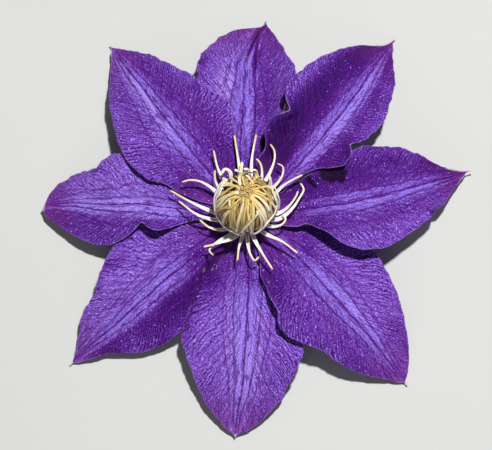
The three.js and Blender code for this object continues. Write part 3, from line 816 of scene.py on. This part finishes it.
stamenFinish = {
    # foot, middle, tip and line colours of each kind of strap, and how strongly pale blotches of painted
    # highlight show on it. The line colour serves the fine fibre lines and the painted shade in the groove
    # and along the edges.
    # the feet are whitish, and made paler still as painted light where the dome shades them
    "pale": (colour(238, 232, 230), colour(248, 243, 236), colour(226, 204, 150), colour(104, 88, 84), 0.5),
    "cream": (colour(252, 242, 228), colour(242, 224, 172), colour(222, 192, 104), colour(132, 90, 34), 0.5),
    "gold": (colour(244, 226, 186), colour(206, 170, 54), colour(196, 158, 44), colour(86, 46, 2), 0.25),
    "amber": (colour(216, 188, 136), colour(168, 122, 22), colour(180, 138, 34), colour(56, 26, 1), 0.25),
    "stigma": (colour(184, 142, 40), colour(210, 172, 50), colour(188, 144, 34), colour(78, 44, 4), 0.05),
    "hook": (colour(214, 206, 208), colour(250, 245, 236), colour(240, 228, 190), colour(104, 88, 84), 0.25),
}
stamenSurface = {
    "paintedHighlight": colour(250, 240, 220),
    "pollen": colour(255, 250, 232),
    "highlightScale": 210.0,  # blotches and grains to the metre
    "mottleScale": 330.0,
    "pollenScale": 2600.0,
    "fibres": (3.0, 7.0),  # along the strap and across it
    "reliefDepth": 0.15,
}


def stamenMaterial(kind):
    # foot to tip runs along the strap's own map, and fine lines run with it
    material, tree = newMaterial(f"stamen{kind.capitalize()}")
    foot, middle, tip, fibreAndGrooveShade, highlightAmount = stamenFinish[kind]
    look = stamenSurface
    along, across, _ = split(tree, mapped(tree, "strap"))
    place = objectPlace(tree)
    mottle = noise(tree, place, look["mottleScale"], 3.0)
    pollen = noise(tree, place, look["pollenScale"], 2.0)
    paintedHighlight = noise(tree, place, look["highlightScale"], 1.0)
    lengthwise, crosswise = look["fibres"]
    drawn = vector(tree, times(tree, along, lengthwise), times(tree, across, crosswise),
                   times(tree, mottle, 2.0))
    fibre = noise(tree, drawn, 1.0, 2.0)
    aside = sizeOf(tree, minus(tree, across, 0.5))
    # painted shade: a spreading strap is darkest in its groove, a folded one along its edges where the
    # strands meet
    if kind in ("pale", "hook"):  # a spreading strap is darkest in its groove, a folded one along its edges
        line = ramp(tree, aside, 0.0, 0.15, 0.75, 0.0)
    else:
        line = ramp(tree, aside, 0.22, 0.46, 0.0, 0.85)
    line = times(tree, line, ramp(tree, along, 0.75, 0.98, 1.0, 0.0))
    shade = layered(
        tree, foot,
        (ramp(tree, along, 0.15, 0.5), middle),
        (ramp(tree, timesPlus(tree, mottle, 0.5, along), 0.75, 1.15), tip),
        # pale blotches of painted highlight
        (ramp(tree, paintedHighlight, 0.5, 0.66, 0.0, highlightAmount), look["paintedHighlight"]),
        # fine fibre lines, and painted shade in the groove or along the edges
        (larger(tree, ramp(tree, fibre, 0.48, 0.3, 0.0, 0.65), line), fibreAndGrooveShade),
        (ramp(tree, pollen, 0.4, 0.62, 0.0, 0.18), look["pollen"]),
    )
    roughness = timesPlus(tree, mottle, 0.2, 0.45)
    raised = timesPlus(tree, pollen, 0.35, fibre)
    return finishMaterial(material, shade, roughness, raised, 0.6, look["reliefDepth"], {
        "Subsurface Weight": 0.2,  # light glows through the thin straps
        "Subsurface Radius": (1.0, 0.75, 0.45),
        "Subsurface Scale": mm,
    })


stamenMaterials = {kind: stamenMaterial(kind) for kind in stamenFinish}

strapLook = {
    # width and thickness at the foot and at the tip in millimetres, how deep the groove is as a share
    # of the thickness, and the stretch over which the strap narrows
    "spreading": {"width": (1.68, 0.68), "thickness": (0.5, 0.36), "groove": 0.75, "taper": (0.2, 0.75)},
    "dome": {"width": (1.5, 0.6), "thickness": (0.75, 0.4), "groove": 0.6, "taper": (0.45, 1.0)},
    "strand": {"width": (1.25, 0.55), "thickness": (0.75, 0.4), "groove": 0.6, "taper": (0.5, 1.0)},
    "hook": {"width": (1.5, 1.05), "thickness": (0.55, 0.45), "groove": 0.5, "taper": (0.5, 0.9)},
    "style": {"width": (1.3, 0.3), "thickness": (0.9, 0.3), "groove": 0.0, "taper": (0.3, 1.0)},
    "curl": {"width": (0.46, 0.3), "thickness": (0.36, 0.26), "groove": 0.35, "taper": (0.3, 1.0)},
}


def readStrap(node):
    # the centres of a strap's rings from foot to tip
    points, triangles = mergedMesh(node)
    linked = [set() for _ in points]
    for triangle in triangles:
        for corner in triangle:
            linked[corner] |= set(triangle)
    reach = np.hypot(points[:, 0] - axisPoint.x, points[:, 1] - axisPoint.y)
    seatCorners = 7  # the seat is the end that lies low and near the axis
    ring = set(np.argsort(reach + 2 * points[:, 2])[:seatCorners].tolist())
    seen = set(ring)
    centres = []
    while len(ring) > 3:
        centres.append(points[sorted(ring)].mean(0))
        ring = set().union(*(linked[v] for v in ring)) - seen
        seen |= ring
    return np.array(centres)


def strapMaster(name, segments, rings):
    deselectAll()
    bpy.ops.mesh.primitive_uv_sphere_add(segments=segments, ring_count=rings, radius=1)
    master = bpy.context.object
    master.name = name
    bpy.ops.object.shade_smooth()
    return master


def unit(rows):
    return rows / np.linalg.norm(rows, axis=1)[:, None]


def layStrap(master, name, route, bendCentre, look, kind, twist=0.0):
    # a copy of the master drawn along a route of points, flat side away from the bend's centre
    piece = master.copy()
    piece.data = master.data.copy()
    piece.name = name
    bpy.context.scene.collection.objects.link(piece)
    mesh = piece.data
    ball = getCorners(mesh)
    t = 0.5 - np.arcsin(np.clip(ball[:, 2], -1, 1)) / np.pi
    turn = np.arctan2(ball[:, 1], ball[:, 0])
    samples = 121
    even = np.linspace(0, 1, samples)
    path = curve(route, samples)
    run = np.concatenate([[0], np.cumsum(np.linalg.norm(np.diff(path, axis=0), axis=1))])
    path = sampled(path, run, even * run[-1])
    along = unit(np.gradient(path, axis=0))
    side = unit(np.cross(along, path - np.asarray(bendCentre)))
    face = np.cross(side, along)
    angle = (twist * even ** 1.5)[:, None]
    side, face = side * np.cos(angle) + face * np.sin(angle), face * np.cos(angle) - side * np.sin(angle)

    # the width and thickness taper, both ends close, and a groove runs along the flat side
    taper = smooth(*look["taper"], t)
    footEnd, tipStart, grooveWidth = 0.02, 0.95, 0.42
    tipRound = np.clip((t - tipStart) / (1 - tipStart), 0, 1)
    closing = np.sqrt((1 - tipRound ** 2) * np.clip(t / footEnd, 0, 1))
    halfWidth, halfThick = ((foot + (tip - foot) * taper) / 2 * closing * mm
                            for foot, tip in (look["width"], look["thickness"]))
    sink = look["groove"] * bell(np.cos(turn) / grooveWidth) * fall(0.7, tipStart, t)
    rise = np.sin(turn) * np.where(np.sin(turn) > 0, 1 - sink, 1.0)
    wide = sampled(side, even, t) * (np.cos(turn) * halfWidth)[:, None]
    high = sampled(face, even, t) * (rise * halfThick)[:, None]
    setCorners(mesh, sampled(path, even, t) + wide + high)
    setMap(mesh, "strap", t, np.cos(turn) * 0.5 + 0.5)
    mesh.materials.clear()
    mesh.materials.append(stamenMaterials[kind])
    only(piece)
    bpy.ops.object.mode_set(mode="EDIT")
    bpy.ops.mesh.select_all(action="SELECT")
    bpy.ops.mesh.normals_make_consistent(inside=False)
    bpy.ops.object.mode_set(mode="OBJECT")
    return piece


domeDepth = 8 * mm  # from the top of the head of pistils down to the dome's middle
domeCentre = (axisPoint.x, axisPoint.y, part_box("pistil_head")[1].z - domeDepth)
underCentre = (axisPoint.x, axisPoint.y, -0.04)  # the spreading straps bend round this place
goldenAngle = 137.5


def domePlace(azimuth, reach, rise):
    # a place by its turn about the axis, and millimetres out from the axis and up from the dome's middle
    turn = math.radians(azimuth)
    x, y, z = domeCentre
    return (x + reach * mm * math.cos(turn), y + reach * mm * math.sin(turn), z + rise * mm)


def ballPoint(azimuth, polar, radius):
    # a place round the dome's middle: turn about the axis, angle from the crown, millimetres out
    tilt = math.radians(polar)
    return domePlace(azimuth, radius * math.sin(tilt), radius * math.cos(tilt))


def joinPieces(pieces, name):
    deselectAll()
    for piece in pieces:
        piece.select_set(True)
    bpy.context.view_layer.objects.active = pieces[0]
    bpy.ops.object.join()
    joined = bpy.context.object
    joined.name = name
    return joined


domeLook = {
    # the rings of strands under the dome's own straps. turn, sway, end and radius are waves round the
    # ring: middle, height and pace. turn and sway are degrees about the axis, at the foot and up to the
    # tip, end is the tip's angle from the crown and radius the millimetres from the dome's middle
    "amber": {"count": 30, "turn": (0, 4, 2.3), "sway": (0, 12, 1.9), "end": (10, 6, 2.9),
              "radius": (8.7, 0.25, 1.3), "start": 112, "drop": 5.2, "width": (1.95, 0.55), "twist": 0.2,
              "goldEvery": 3},
    "cream": {"count": 22, "turn": (0, 5, 1.7), "sway": (0, 14, 2.7), "end": (20, 8, 2.1),
              "radius": (9.8, 0.3, 2.2), "start": 114, "drop": 5.6, "width": (1.25, 0.55), "twist": 0.3,
              "goldEvery": 2},
    "front": (-135, -10),  # the cream ring leaves these degrees to strands of their own
    "rooted": 105,         # a strand that starts lower than this many degrees runs on to the receptacle
    "runOn": ((0.6, 0.2), (0.38, -0.35)),  # where the frame's straps go on: share of tilt, out
    "crownCount": 110,
    "crownSpread": 21,     # degrees from the crown
    "crownRadius": 10.0,
    "curlReach": 1.0,      # millimetres from a curl's middle to its ends
    "styleCount": 60,
}


# Strands that close over the dome: kind, width share, distance from the dome's middle, then
# places from foot to tip as (turn about the axis, angle from the crown), degrees.
domeStrands = [
    # the tuft at the front
    ("gold", 0.9, 10.2, [(-106, 110), (-110, 84), (-116, 62), (-124, 42), (-131, 28), (-131, 16)]),
    ("amber", 1.0, 9.8, [(-101, 108), (-102, 84), (-104, 58), (-106, 37), (-112, 21), (-120, 13)]),
    ("gold", 0.9, 10.1, [(-97, 108), (-98, 83), (-99, 57), (-99, 40), (-102, 24), (-109, 14)]),
    ("gold", 0.9, 10.3, [(-95, 112), (-95, 90), (-95, 62), (-94, 44), (-90, 28), (-86, 13)]),
    ("amber", 1.0, 9.8, [(-91, 100), (-91, 75), (-87, 48), (-81, 34), (-80, 22), (-81, 12)]),
    ("gold", 1.0, 10.0, [(-87, 104), (-88, 69), (-77, 47), (-70, 33), (-72, 23), (-72, 12)]),
    ("cream", 1.0, 10.3, [(-78, 108), (-76, 68), (-69, 44), (-62, 31), (-53, 20), (-39, 12)]),
    ("cream", 1.2, 10.2, [(-62, 108), (-56, 73), (-54, 48), (-51, 32), (-45, 19), (-31, 10)]),
    ("cream", 1.5, 10.4, [(-50, 108), (-49, 85), (-44, 57), (-42, 39), (-44, 25), (-51, 14)]),
    ("amber", 1.2, 9.7, [(-68, 108), (-66, 87), (-63, 63), (-52, 56), (-52, 41)]),
    ("cream", 1.0, 11.0, [(-100, 96), (-96, 82), (-90, 70), (-76, 56), (-60, 47)]),
    # the left
    ("gold", 1.0, 10.4, [(180, 108), (178, 65), (175, 48), (165, 36), (147, 26), (135, 16)]),
    ("cream", 1.5, 10.5, [(-170, 110), (-168, 84), (-165, 61), (-171, 43), (-174, 30), (-176, 16)]),
    ("cream", 0.8, 10.5, [(-160, 108), (-159, 70), (-157, 61), (-158, 46), (-161, 35), (-156, 21)]),
    ("cream", 0.9, 10.3, [(-142, 74), (-138, 47), (-148, 40), (-159, 33), (-151, 22)]),
    ("gold", 1.0, 10.2, [(-124, 76), (-126, 53), (-135, 40), (-149, 28), (-144, 18)]),
    ("gold", 0.9, 10.1, [(-116, 92), (-116, 68), (-122, 50), (-129, 34), (-132, 20)]),
    ("gold", 1.0, 10.8, [(-164, 110), (-160, 94), (-157, 72), (-148, 52), (-135, 42), (-135, 31)]),
    ("amber", 1.2, 10.0, [(-158, 104), (-152, 80), (-147, 62), (-135, 50), (-130, 38)]),
    ("gold", 0.9, 10.3, [(-121, 104), (-121, 81), (-126, 66), (-130, 52), (-132, 40)]),
    ("gold", 0.9, 10.2, [(-114, 108), (-116, 84), (-121, 65), (-126, 50), (-131, 37)]),
    ("amber", 1.6, 8.9, [(-140, 112), (-138, 86), (-135, 64), (-132, 44)]),
    ("amber", 1.6, 8.9, [(-128, 112), (-129, 86), (-130, 64), (-132, 44)]),
    ("amber", 1.5, 9.3, [(-113, 108), (-115, 84), (-119, 62), (-124, 44), (-129, 28)]),
    # the right
    ("gold", 1.2, 10.2, [(-38, 108), (-35, 65), (-24, 48), (-7, 35), (13, 24), (25, 10)]),
    ("gold", 1.1, 10.4, [(-26, 104), (-24, 62), (-5, 50), (12, 38), (36, 27), (55, 13)]),
    ("cream", 1.0, 10.5, [(-30, 66), (-28, 50), (-24, 33), (-22, 23), (-34, 13)]),
    ("amber", 1.2, 10.1, [(-34, 90), (-32, 56), (-23, 41), (-15, 29), (-4, 15)]),
    # the back
    ("amber", 1.6, 10.3, [(-10, 100), (-6, 58), (17, 51), (43, 47), (67, 43), (86, 30)]),
    ("amber", 1.6, 10.0, [(20, 72), (28, 50), (37, 42), (54, 35), (67, 20), (80, 10)]),
    ("gold", 1.1, 10.9, [(128, 14), (122, 22), (108, 38), (92, 52), (80, 62), (66, 54)]),
    ("cream", 0.8, 10.6, [(92, 42), (84, 37), (73, 28), (56, 23)]),
    ("amber", 1.6, 9.9, [(110, 100), (108, 70), (100, 44), (88, 26), (84, 12)]),
    # the pale rim that gathers the feet
    ("pale", 1.1, 11.1,
     [(-98, 112), (-116, 100), (-134, 107), (-150, 101), (-164, 96), (-174, 84), (170, 76)]),
    ("pale", 0.9, 10.9, [(-74, 112), (-56, 93), (-42, 82), (-26, 84), (-12, 80)]),
    ("pale", 1.4, 11.2, [(-12, 104), (-8, 84), (2, 66), (12, 58), (22, 60)]),
    ("pale", 1.1, 11.6, [(-4, 104), (2, 86), (12, 72), (24, 66)]),
    ("pale", 1.6, 11.2, [(-170, 104), (-174, 92), (172, 82), (160, 72), (152, 74)]),
    ("pale", 1.5, 10.9, [(176, 104), (166, 78), (156, 64), (148, 60), (142, 66)]),
    ("hook", 1.5, 11.0, [(-176, 100), (176, 84), (164, 68), (158, 60), (150, 66), (150, 76)]),
    ("hook", 1.3, 11.2, [(166, 104), (160, 84), (150, 72), (140, 66), (134, 72)]),
    ("hook", 1.4, 10.9, [(-172, 96), (178, 72), (172, 60), (162, 56), (156, 62)]),
]


def makeStamens():
    fine = strapMaster("strap_master", 12, 30)
    for node in sorted(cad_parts):
        if "stamen" not in node:
            continue
        route = readStrap(node)
        index = int(node[-2:])
        if "dome" in node:  # the straps run on past the frame's tips to the crown
            build, kind, centre = "dome", "cream" if index % 2 else "gold", domeCentre
            last = Vector(route[-1]) - Vector(domeCentre)
            turn = math.degrees(math.atan2(last.y, last.x)) + 5 * math.sin(index * 1.4)
            tilt = math.degrees(last.angle((0, 0, 1)))
            out = last.length / mm
            runOn = [ballPoint(turn, tilt * share, out + rise) for share, rise in domeLook["runOn"]]
            route = [*route, *runOn]
        elif index < 22:
            build, kind, centre = "spreading", "pale", underCentre
        else:  # the short straps numbered last are hooked
            build, kind, centre = "hook", "hook", underCentre
        piece = layStrap(fine, f"{node}_strap", route, centre, strapLook[build], kind,
                         0.25 * math.sin(index * 2.1))
        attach(piece, "root")
        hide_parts(node)
    return fine


def makeRing(fine, kind):
    # one ring of strands from the receptacle up to the crown
    ring = domeLook[kind]
    look = {**strapLook["strand"], "width": ring["width"]}
    first, last = domeLook["front"]
    strands = []
    for k in range(ring["count"]):
        turn, sway, end, radius = (
            middle + height * math.sin(k * pace)
            for middle, height, pace in (ring["turn"], ring["sway"], ring["end"], ring["radius"]))
        azimuth = 360 / ring["count"] * k + turn
        if kind == "cream" and first < (azimuth + 180) % 360 - 180 < last:
            continue
        route = [domePlace(azimuth, 5.2, -ring["drop"])]
        for u in (0, 0.3, 0.6, 1):
            route.append(ballPoint(azimuth + sway * u, ring["start"] + (end - ring["start"]) * u, radius))
        shade = kind if k % ring["goldEvery"] else "gold"
        strands.append(layStrap(fine, f"{kind}_{k}", route, domeCentre, look, shade,
                                ring["twist"] * math.sin(k)))
    return strands


def makeDome(fine):
    # the strands that fill the dome between and under the straps of the frame
    layers = {"amber": makeRing(fine, "amber"), "gold": [], "cream": makeRing(fine, "cream"),
              "pale": [], "hook": []}
    look = strapLook["strand"]
    for k, (kind, share, radius, places) in enumerate(domeStrands):
        route = [ballPoint(azimuth, polar, radius) for azimuth, polar in places]
        (foot, low), (azimuth, polar) = places[0], places[-1]
        if low > domeLook["rooted"]:
            route.insert(0, domePlace(foot, 6.2, -5.0))
        route.append(ballPoint(azimuth, polar - 4, radius - 1.3))  # the tip turns in
        shape = {**look, "width": (look["width"][0] * share, 0.85 * share)}
        layers[kind].append(layStrap(fine, f"closing_{k}", route, domeCentre, shape, kind,
                                     0.2 * math.sin(k * 1.7)))
    for kind, pieces in layers.items():
        piece = joinPieces(pieces, f"dome_strands_{kind}")
        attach(piece, "root")


def spiral(k, count):
    # the kth of many places spread evenly over a round: its turn, and its share of the way out
    return k * goldenAngle, math.sqrt((k + 0.5) / count)


def makePistils():
    # silky styles crowd on the receptacle, and the tips of the strands meet over them in a tuft
    coarse = strapMaster("style_master", 6, 10)
    styles = []
    for k in range(domeLook["styleCount"]):
        azimuth, share = spiral(k, domeLook["styleCount"])
        route = [domePlace(azimuth, 3.8 * share, -4.2), domePlace(azimuth, 4.4 * share, -0.5),
                 ballPoint(azimuth + 12, 64 * share, 5.4), ballPoint(azimuth + 24, 50 * share, 8.0)]
        styles.append(layStrap(coarse, f"style_{k}", route, domeCentre, strapLook["style"], "amber"))
    piece = joinPieces(styles, "pistil_styles")
    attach(piece, "root")
    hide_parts("pistil_head")
    tuft = []
    for k in range(domeLook["crownCount"]):
        azimuth, share = spiral(k, domeLook["crownCount"])
        out = domeLook["crownRadius"] + 0.45 * math.sin(k * 2.3)
        middle = Vector(ballPoint(azimuth + 9 * math.sin(k * 5.3), domeLook["crownSpread"] * share, out))
        heading = math.radians(azimuth + 180 + 55 * math.sin(k * 3.1))
        stretch = domeLook["curlReach"] * (1 + 0.35 * math.sin(k * 1.7))
        route = []
        for step, rise in ((-1, -1.1), (-0.45, -0.1), (0.3, 0.3), (0.8, 0.2), (1, -0.4)):
            turn = heading + 0.7 * math.sin(k * 2.9) * step
            run = step * stretch
            route.append(middle + Vector((math.cos(turn) * run, math.sin(turn) * run, rise)) * mm)
        tuft.append(layStrap(coarse, f"tuft_{k}", route, domeCentre, strapLook["curl"],
                             "stigma" if k % 4 else "gold"))
    piece = joinPieces(tuft, "dome_crown_tuft")
    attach(piece, "root")
    bpy.data.objects.remove(coarse)


strapFine = makeStamens()
makeDome(strapFine)
bpy.data.objects.remove(strapFine)
makePistils()
print("stamens and pistils done")


stemLook = {
    "groove": colour(66, 86, 34),
    "rind": colour(112, 134, 62),
    "blush": colour(104, 62, 66),  # the purple that sun leaves on a clematis stalk
    "cut": colour(196, 206, 142),
    "pith": colour(226, 228, 190),
    "ridges": 9,
    "bundleRing": 0.62,            # where the fibres stand in the cut end, as a share of its radius
    "fibreScale": 3200.0,          # fibres and patches to the metre
    "patchScale": 260.0,
    "fibreStretch": 0.12,
    "reliefDepth": 0.2,
}


def stemMaterial():
    # ridged green rind with hairs along it, and a pale cut end with a ring of fibres round the pith
    material, tree = newMaterial("stemGreen")
    look = stemLook
    place = objectPlace(tree)
    offset = vectorCalc(tree, "SUBTRACT", place, (axisPoint.x, axisPoint.y, 0))
    x, y, _ = split(tree, offset)
    flat = addNode(tree, "ShaderNodeVectorMath", {"operation": "LENGTH"}, i0=vector(tree, x, y))
    reach = flat.outputs["Value"]
    ridge = calc(tree, "SINE", times(tree, calc(tree, "ARCTAN2", y, x), look["ridges"]))
    drawn = vectorCalc(tree, "MULTIPLY", offset, (1, 1, look["fibreStretch"]))
    fibre = noise(tree, drawn, look["fibreScale"], 3.0)
    patch = noise(tree, place, look["patchScale"], 2.0)
    rind = layered(
        tree, look["groove"],
        (ramp(tree, ridge, -0.9, 0.5), look["rind"]),
        (ramp(tree, fibre, 0.35, 0.65, 0.0, 0.35), look["cut"]),
        (ramp(tree, patch, 0.5, 0.7, 0.0, 0.6), look["blush"]),
    )
    edge = (stemHigh.x - stemLow.x) / 2
    ring = ramp(tree, sizeOf(tree, minus(tree, reach, look["bundleRing"] * edge)), 0.0, 0.16 * edge, 1.0, 0.0)
    bundles = times(tree, ring, ramp(tree, ridge, 0.0, 0.6))
    end = layered(
        tree, look["pith"],
        (ramp(tree, reach, 0.25 * edge, 0.5 * edge), look["cut"]),
        (times(tree, bundles, 0.7), look["groove"]),
    )
    facing = split(tree, addNode(tree, "ShaderNodeNewGeometry").outputs["True Normal"])[2]
    shade = mixColour(tree, ramp(tree, facing, -0.8, -0.9), rind, end)
    height = timesPlus(tree, fibre, 0.5, times(tree, ridge, 0.6))
    return finishMaterial(material, shade, ramp(tree, patch, 0.3, 0.7, 0.42, 0.66), height, 0.6,
                          look["reliefDepth"], {})


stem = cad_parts["stem"].data
stem.materials.clear()
stem.materials.append(stemMaterial())
print("stem done")


stageLook = {
    "floor": colour(188, 188, 186),
    "floorLight": colour(196, 196, 194),
    "floorSize": 6,
    "floorHeight": -0.0002,           # a hair under the flower
    "world": 0.1,
    "keyPower": 15.9,
    "keySize": 0.08,
    "keyFrom": (0.185, 0.165, 1.07),
    "keyAim": (0, 0, 0.01),
    "fillPower": 2.4,
    "fillSize": 0.8,
    "fillFrom": (-0.25, -1.1, 0.42),  # low, so that it reaches under the dome's front
    "fillAim": (0, 0, 0.02),
}


def makeFloor():
    deselectAll()
    bpy.ops.mesh.primitive_plane_add(size=stageLook["floorSize"], location=(0, 0, stageLook["floorHeight"]))
    floor = bpy.context.object
    floor.name = "floor"
    material, tree = newMaterial("floorPale")
    shader = tree.nodes["Principled BSDF"]
    grain = noise(tree, objectPlace(tree), 6.0, 3.0)
    shade = mixColour(tree, grain, stageLook["floor"], stageLook["floorLight"])
    plug(tree, shader.inputs["Base Color"], shade)
    plug(tree, shader.inputs["Roughness"], 0.9)
    floor.data.materials.append(material)


def addLight(name):
    place = stageLook[f"{name}From"]
    bpy.ops.object.light_add(type="AREA", location=place)
    light = bpy.context.object
    light.name = name
    light.data.energy = stageLook[f"{name}Power"]
    light.data.size = stageLook[f"{name}Size"]
    light.rotation_mode = "QUATERNION"
    light.rotation_quaternion = (Vector(stageLook[f"{name}Aim"]) - Vector(place)).to_track_quat("-Z", "Y")


makeFloor()
addLight("key")
addLight("fill")

scene = bpy.context.scene
scene.world = scene.world or bpy.data.worlds.new("world")
scene.world.use_nodes = True
background = scene.world.node_tree.nodes["Background"]
background.inputs["Color"].default_value = (1, 1, 1, 1)
background.inputs["Strength"].default_value = stageLook["world"]
scene.view_settings.view_transform = "Standard"

cameraLook = {
    "elevation": 67,
    "distance": 1.3,
    "width": 0.1722,     # what the frame spans at the flower, metres
    "footHeight": 0.012,
    "lower": 0.0021,     # how far under the flower's foot the frame's middle lies
    "sensor": 36,
    "nearest": 0.05,
    "farthest": 20,
}


def makeCamera():
    look = cameraLook
    lift = math.radians(look["elevation"])
    back = Vector((0, -math.cos(lift), math.sin(lift)))
    upward = Vector((0, math.sin(lift), math.cos(lift)))
    aim = Vector((axisPoint.x, axisPoint.y, look["footHeight"])) - upward * look["lower"]
    bpy.ops.object.camera_add(location=aim + back * look["distance"])
    camera = bpy.context.object
    camera.rotation_mode = "QUATERNION"
    camera.rotation_quaternion = (-back).to_track_quat("-Z", "Y")
    camera.data.sensor_width = look["sensor"]
    camera.data.lens = look["sensor"] * look["distance"] / look["width"]
    camera.data.clip_start = look["nearest"]
    camera.data.clip_end = look["farthest"]
    bpy.context.scene.camera = camera


makeCamera()
print("floor, lights and camera done")
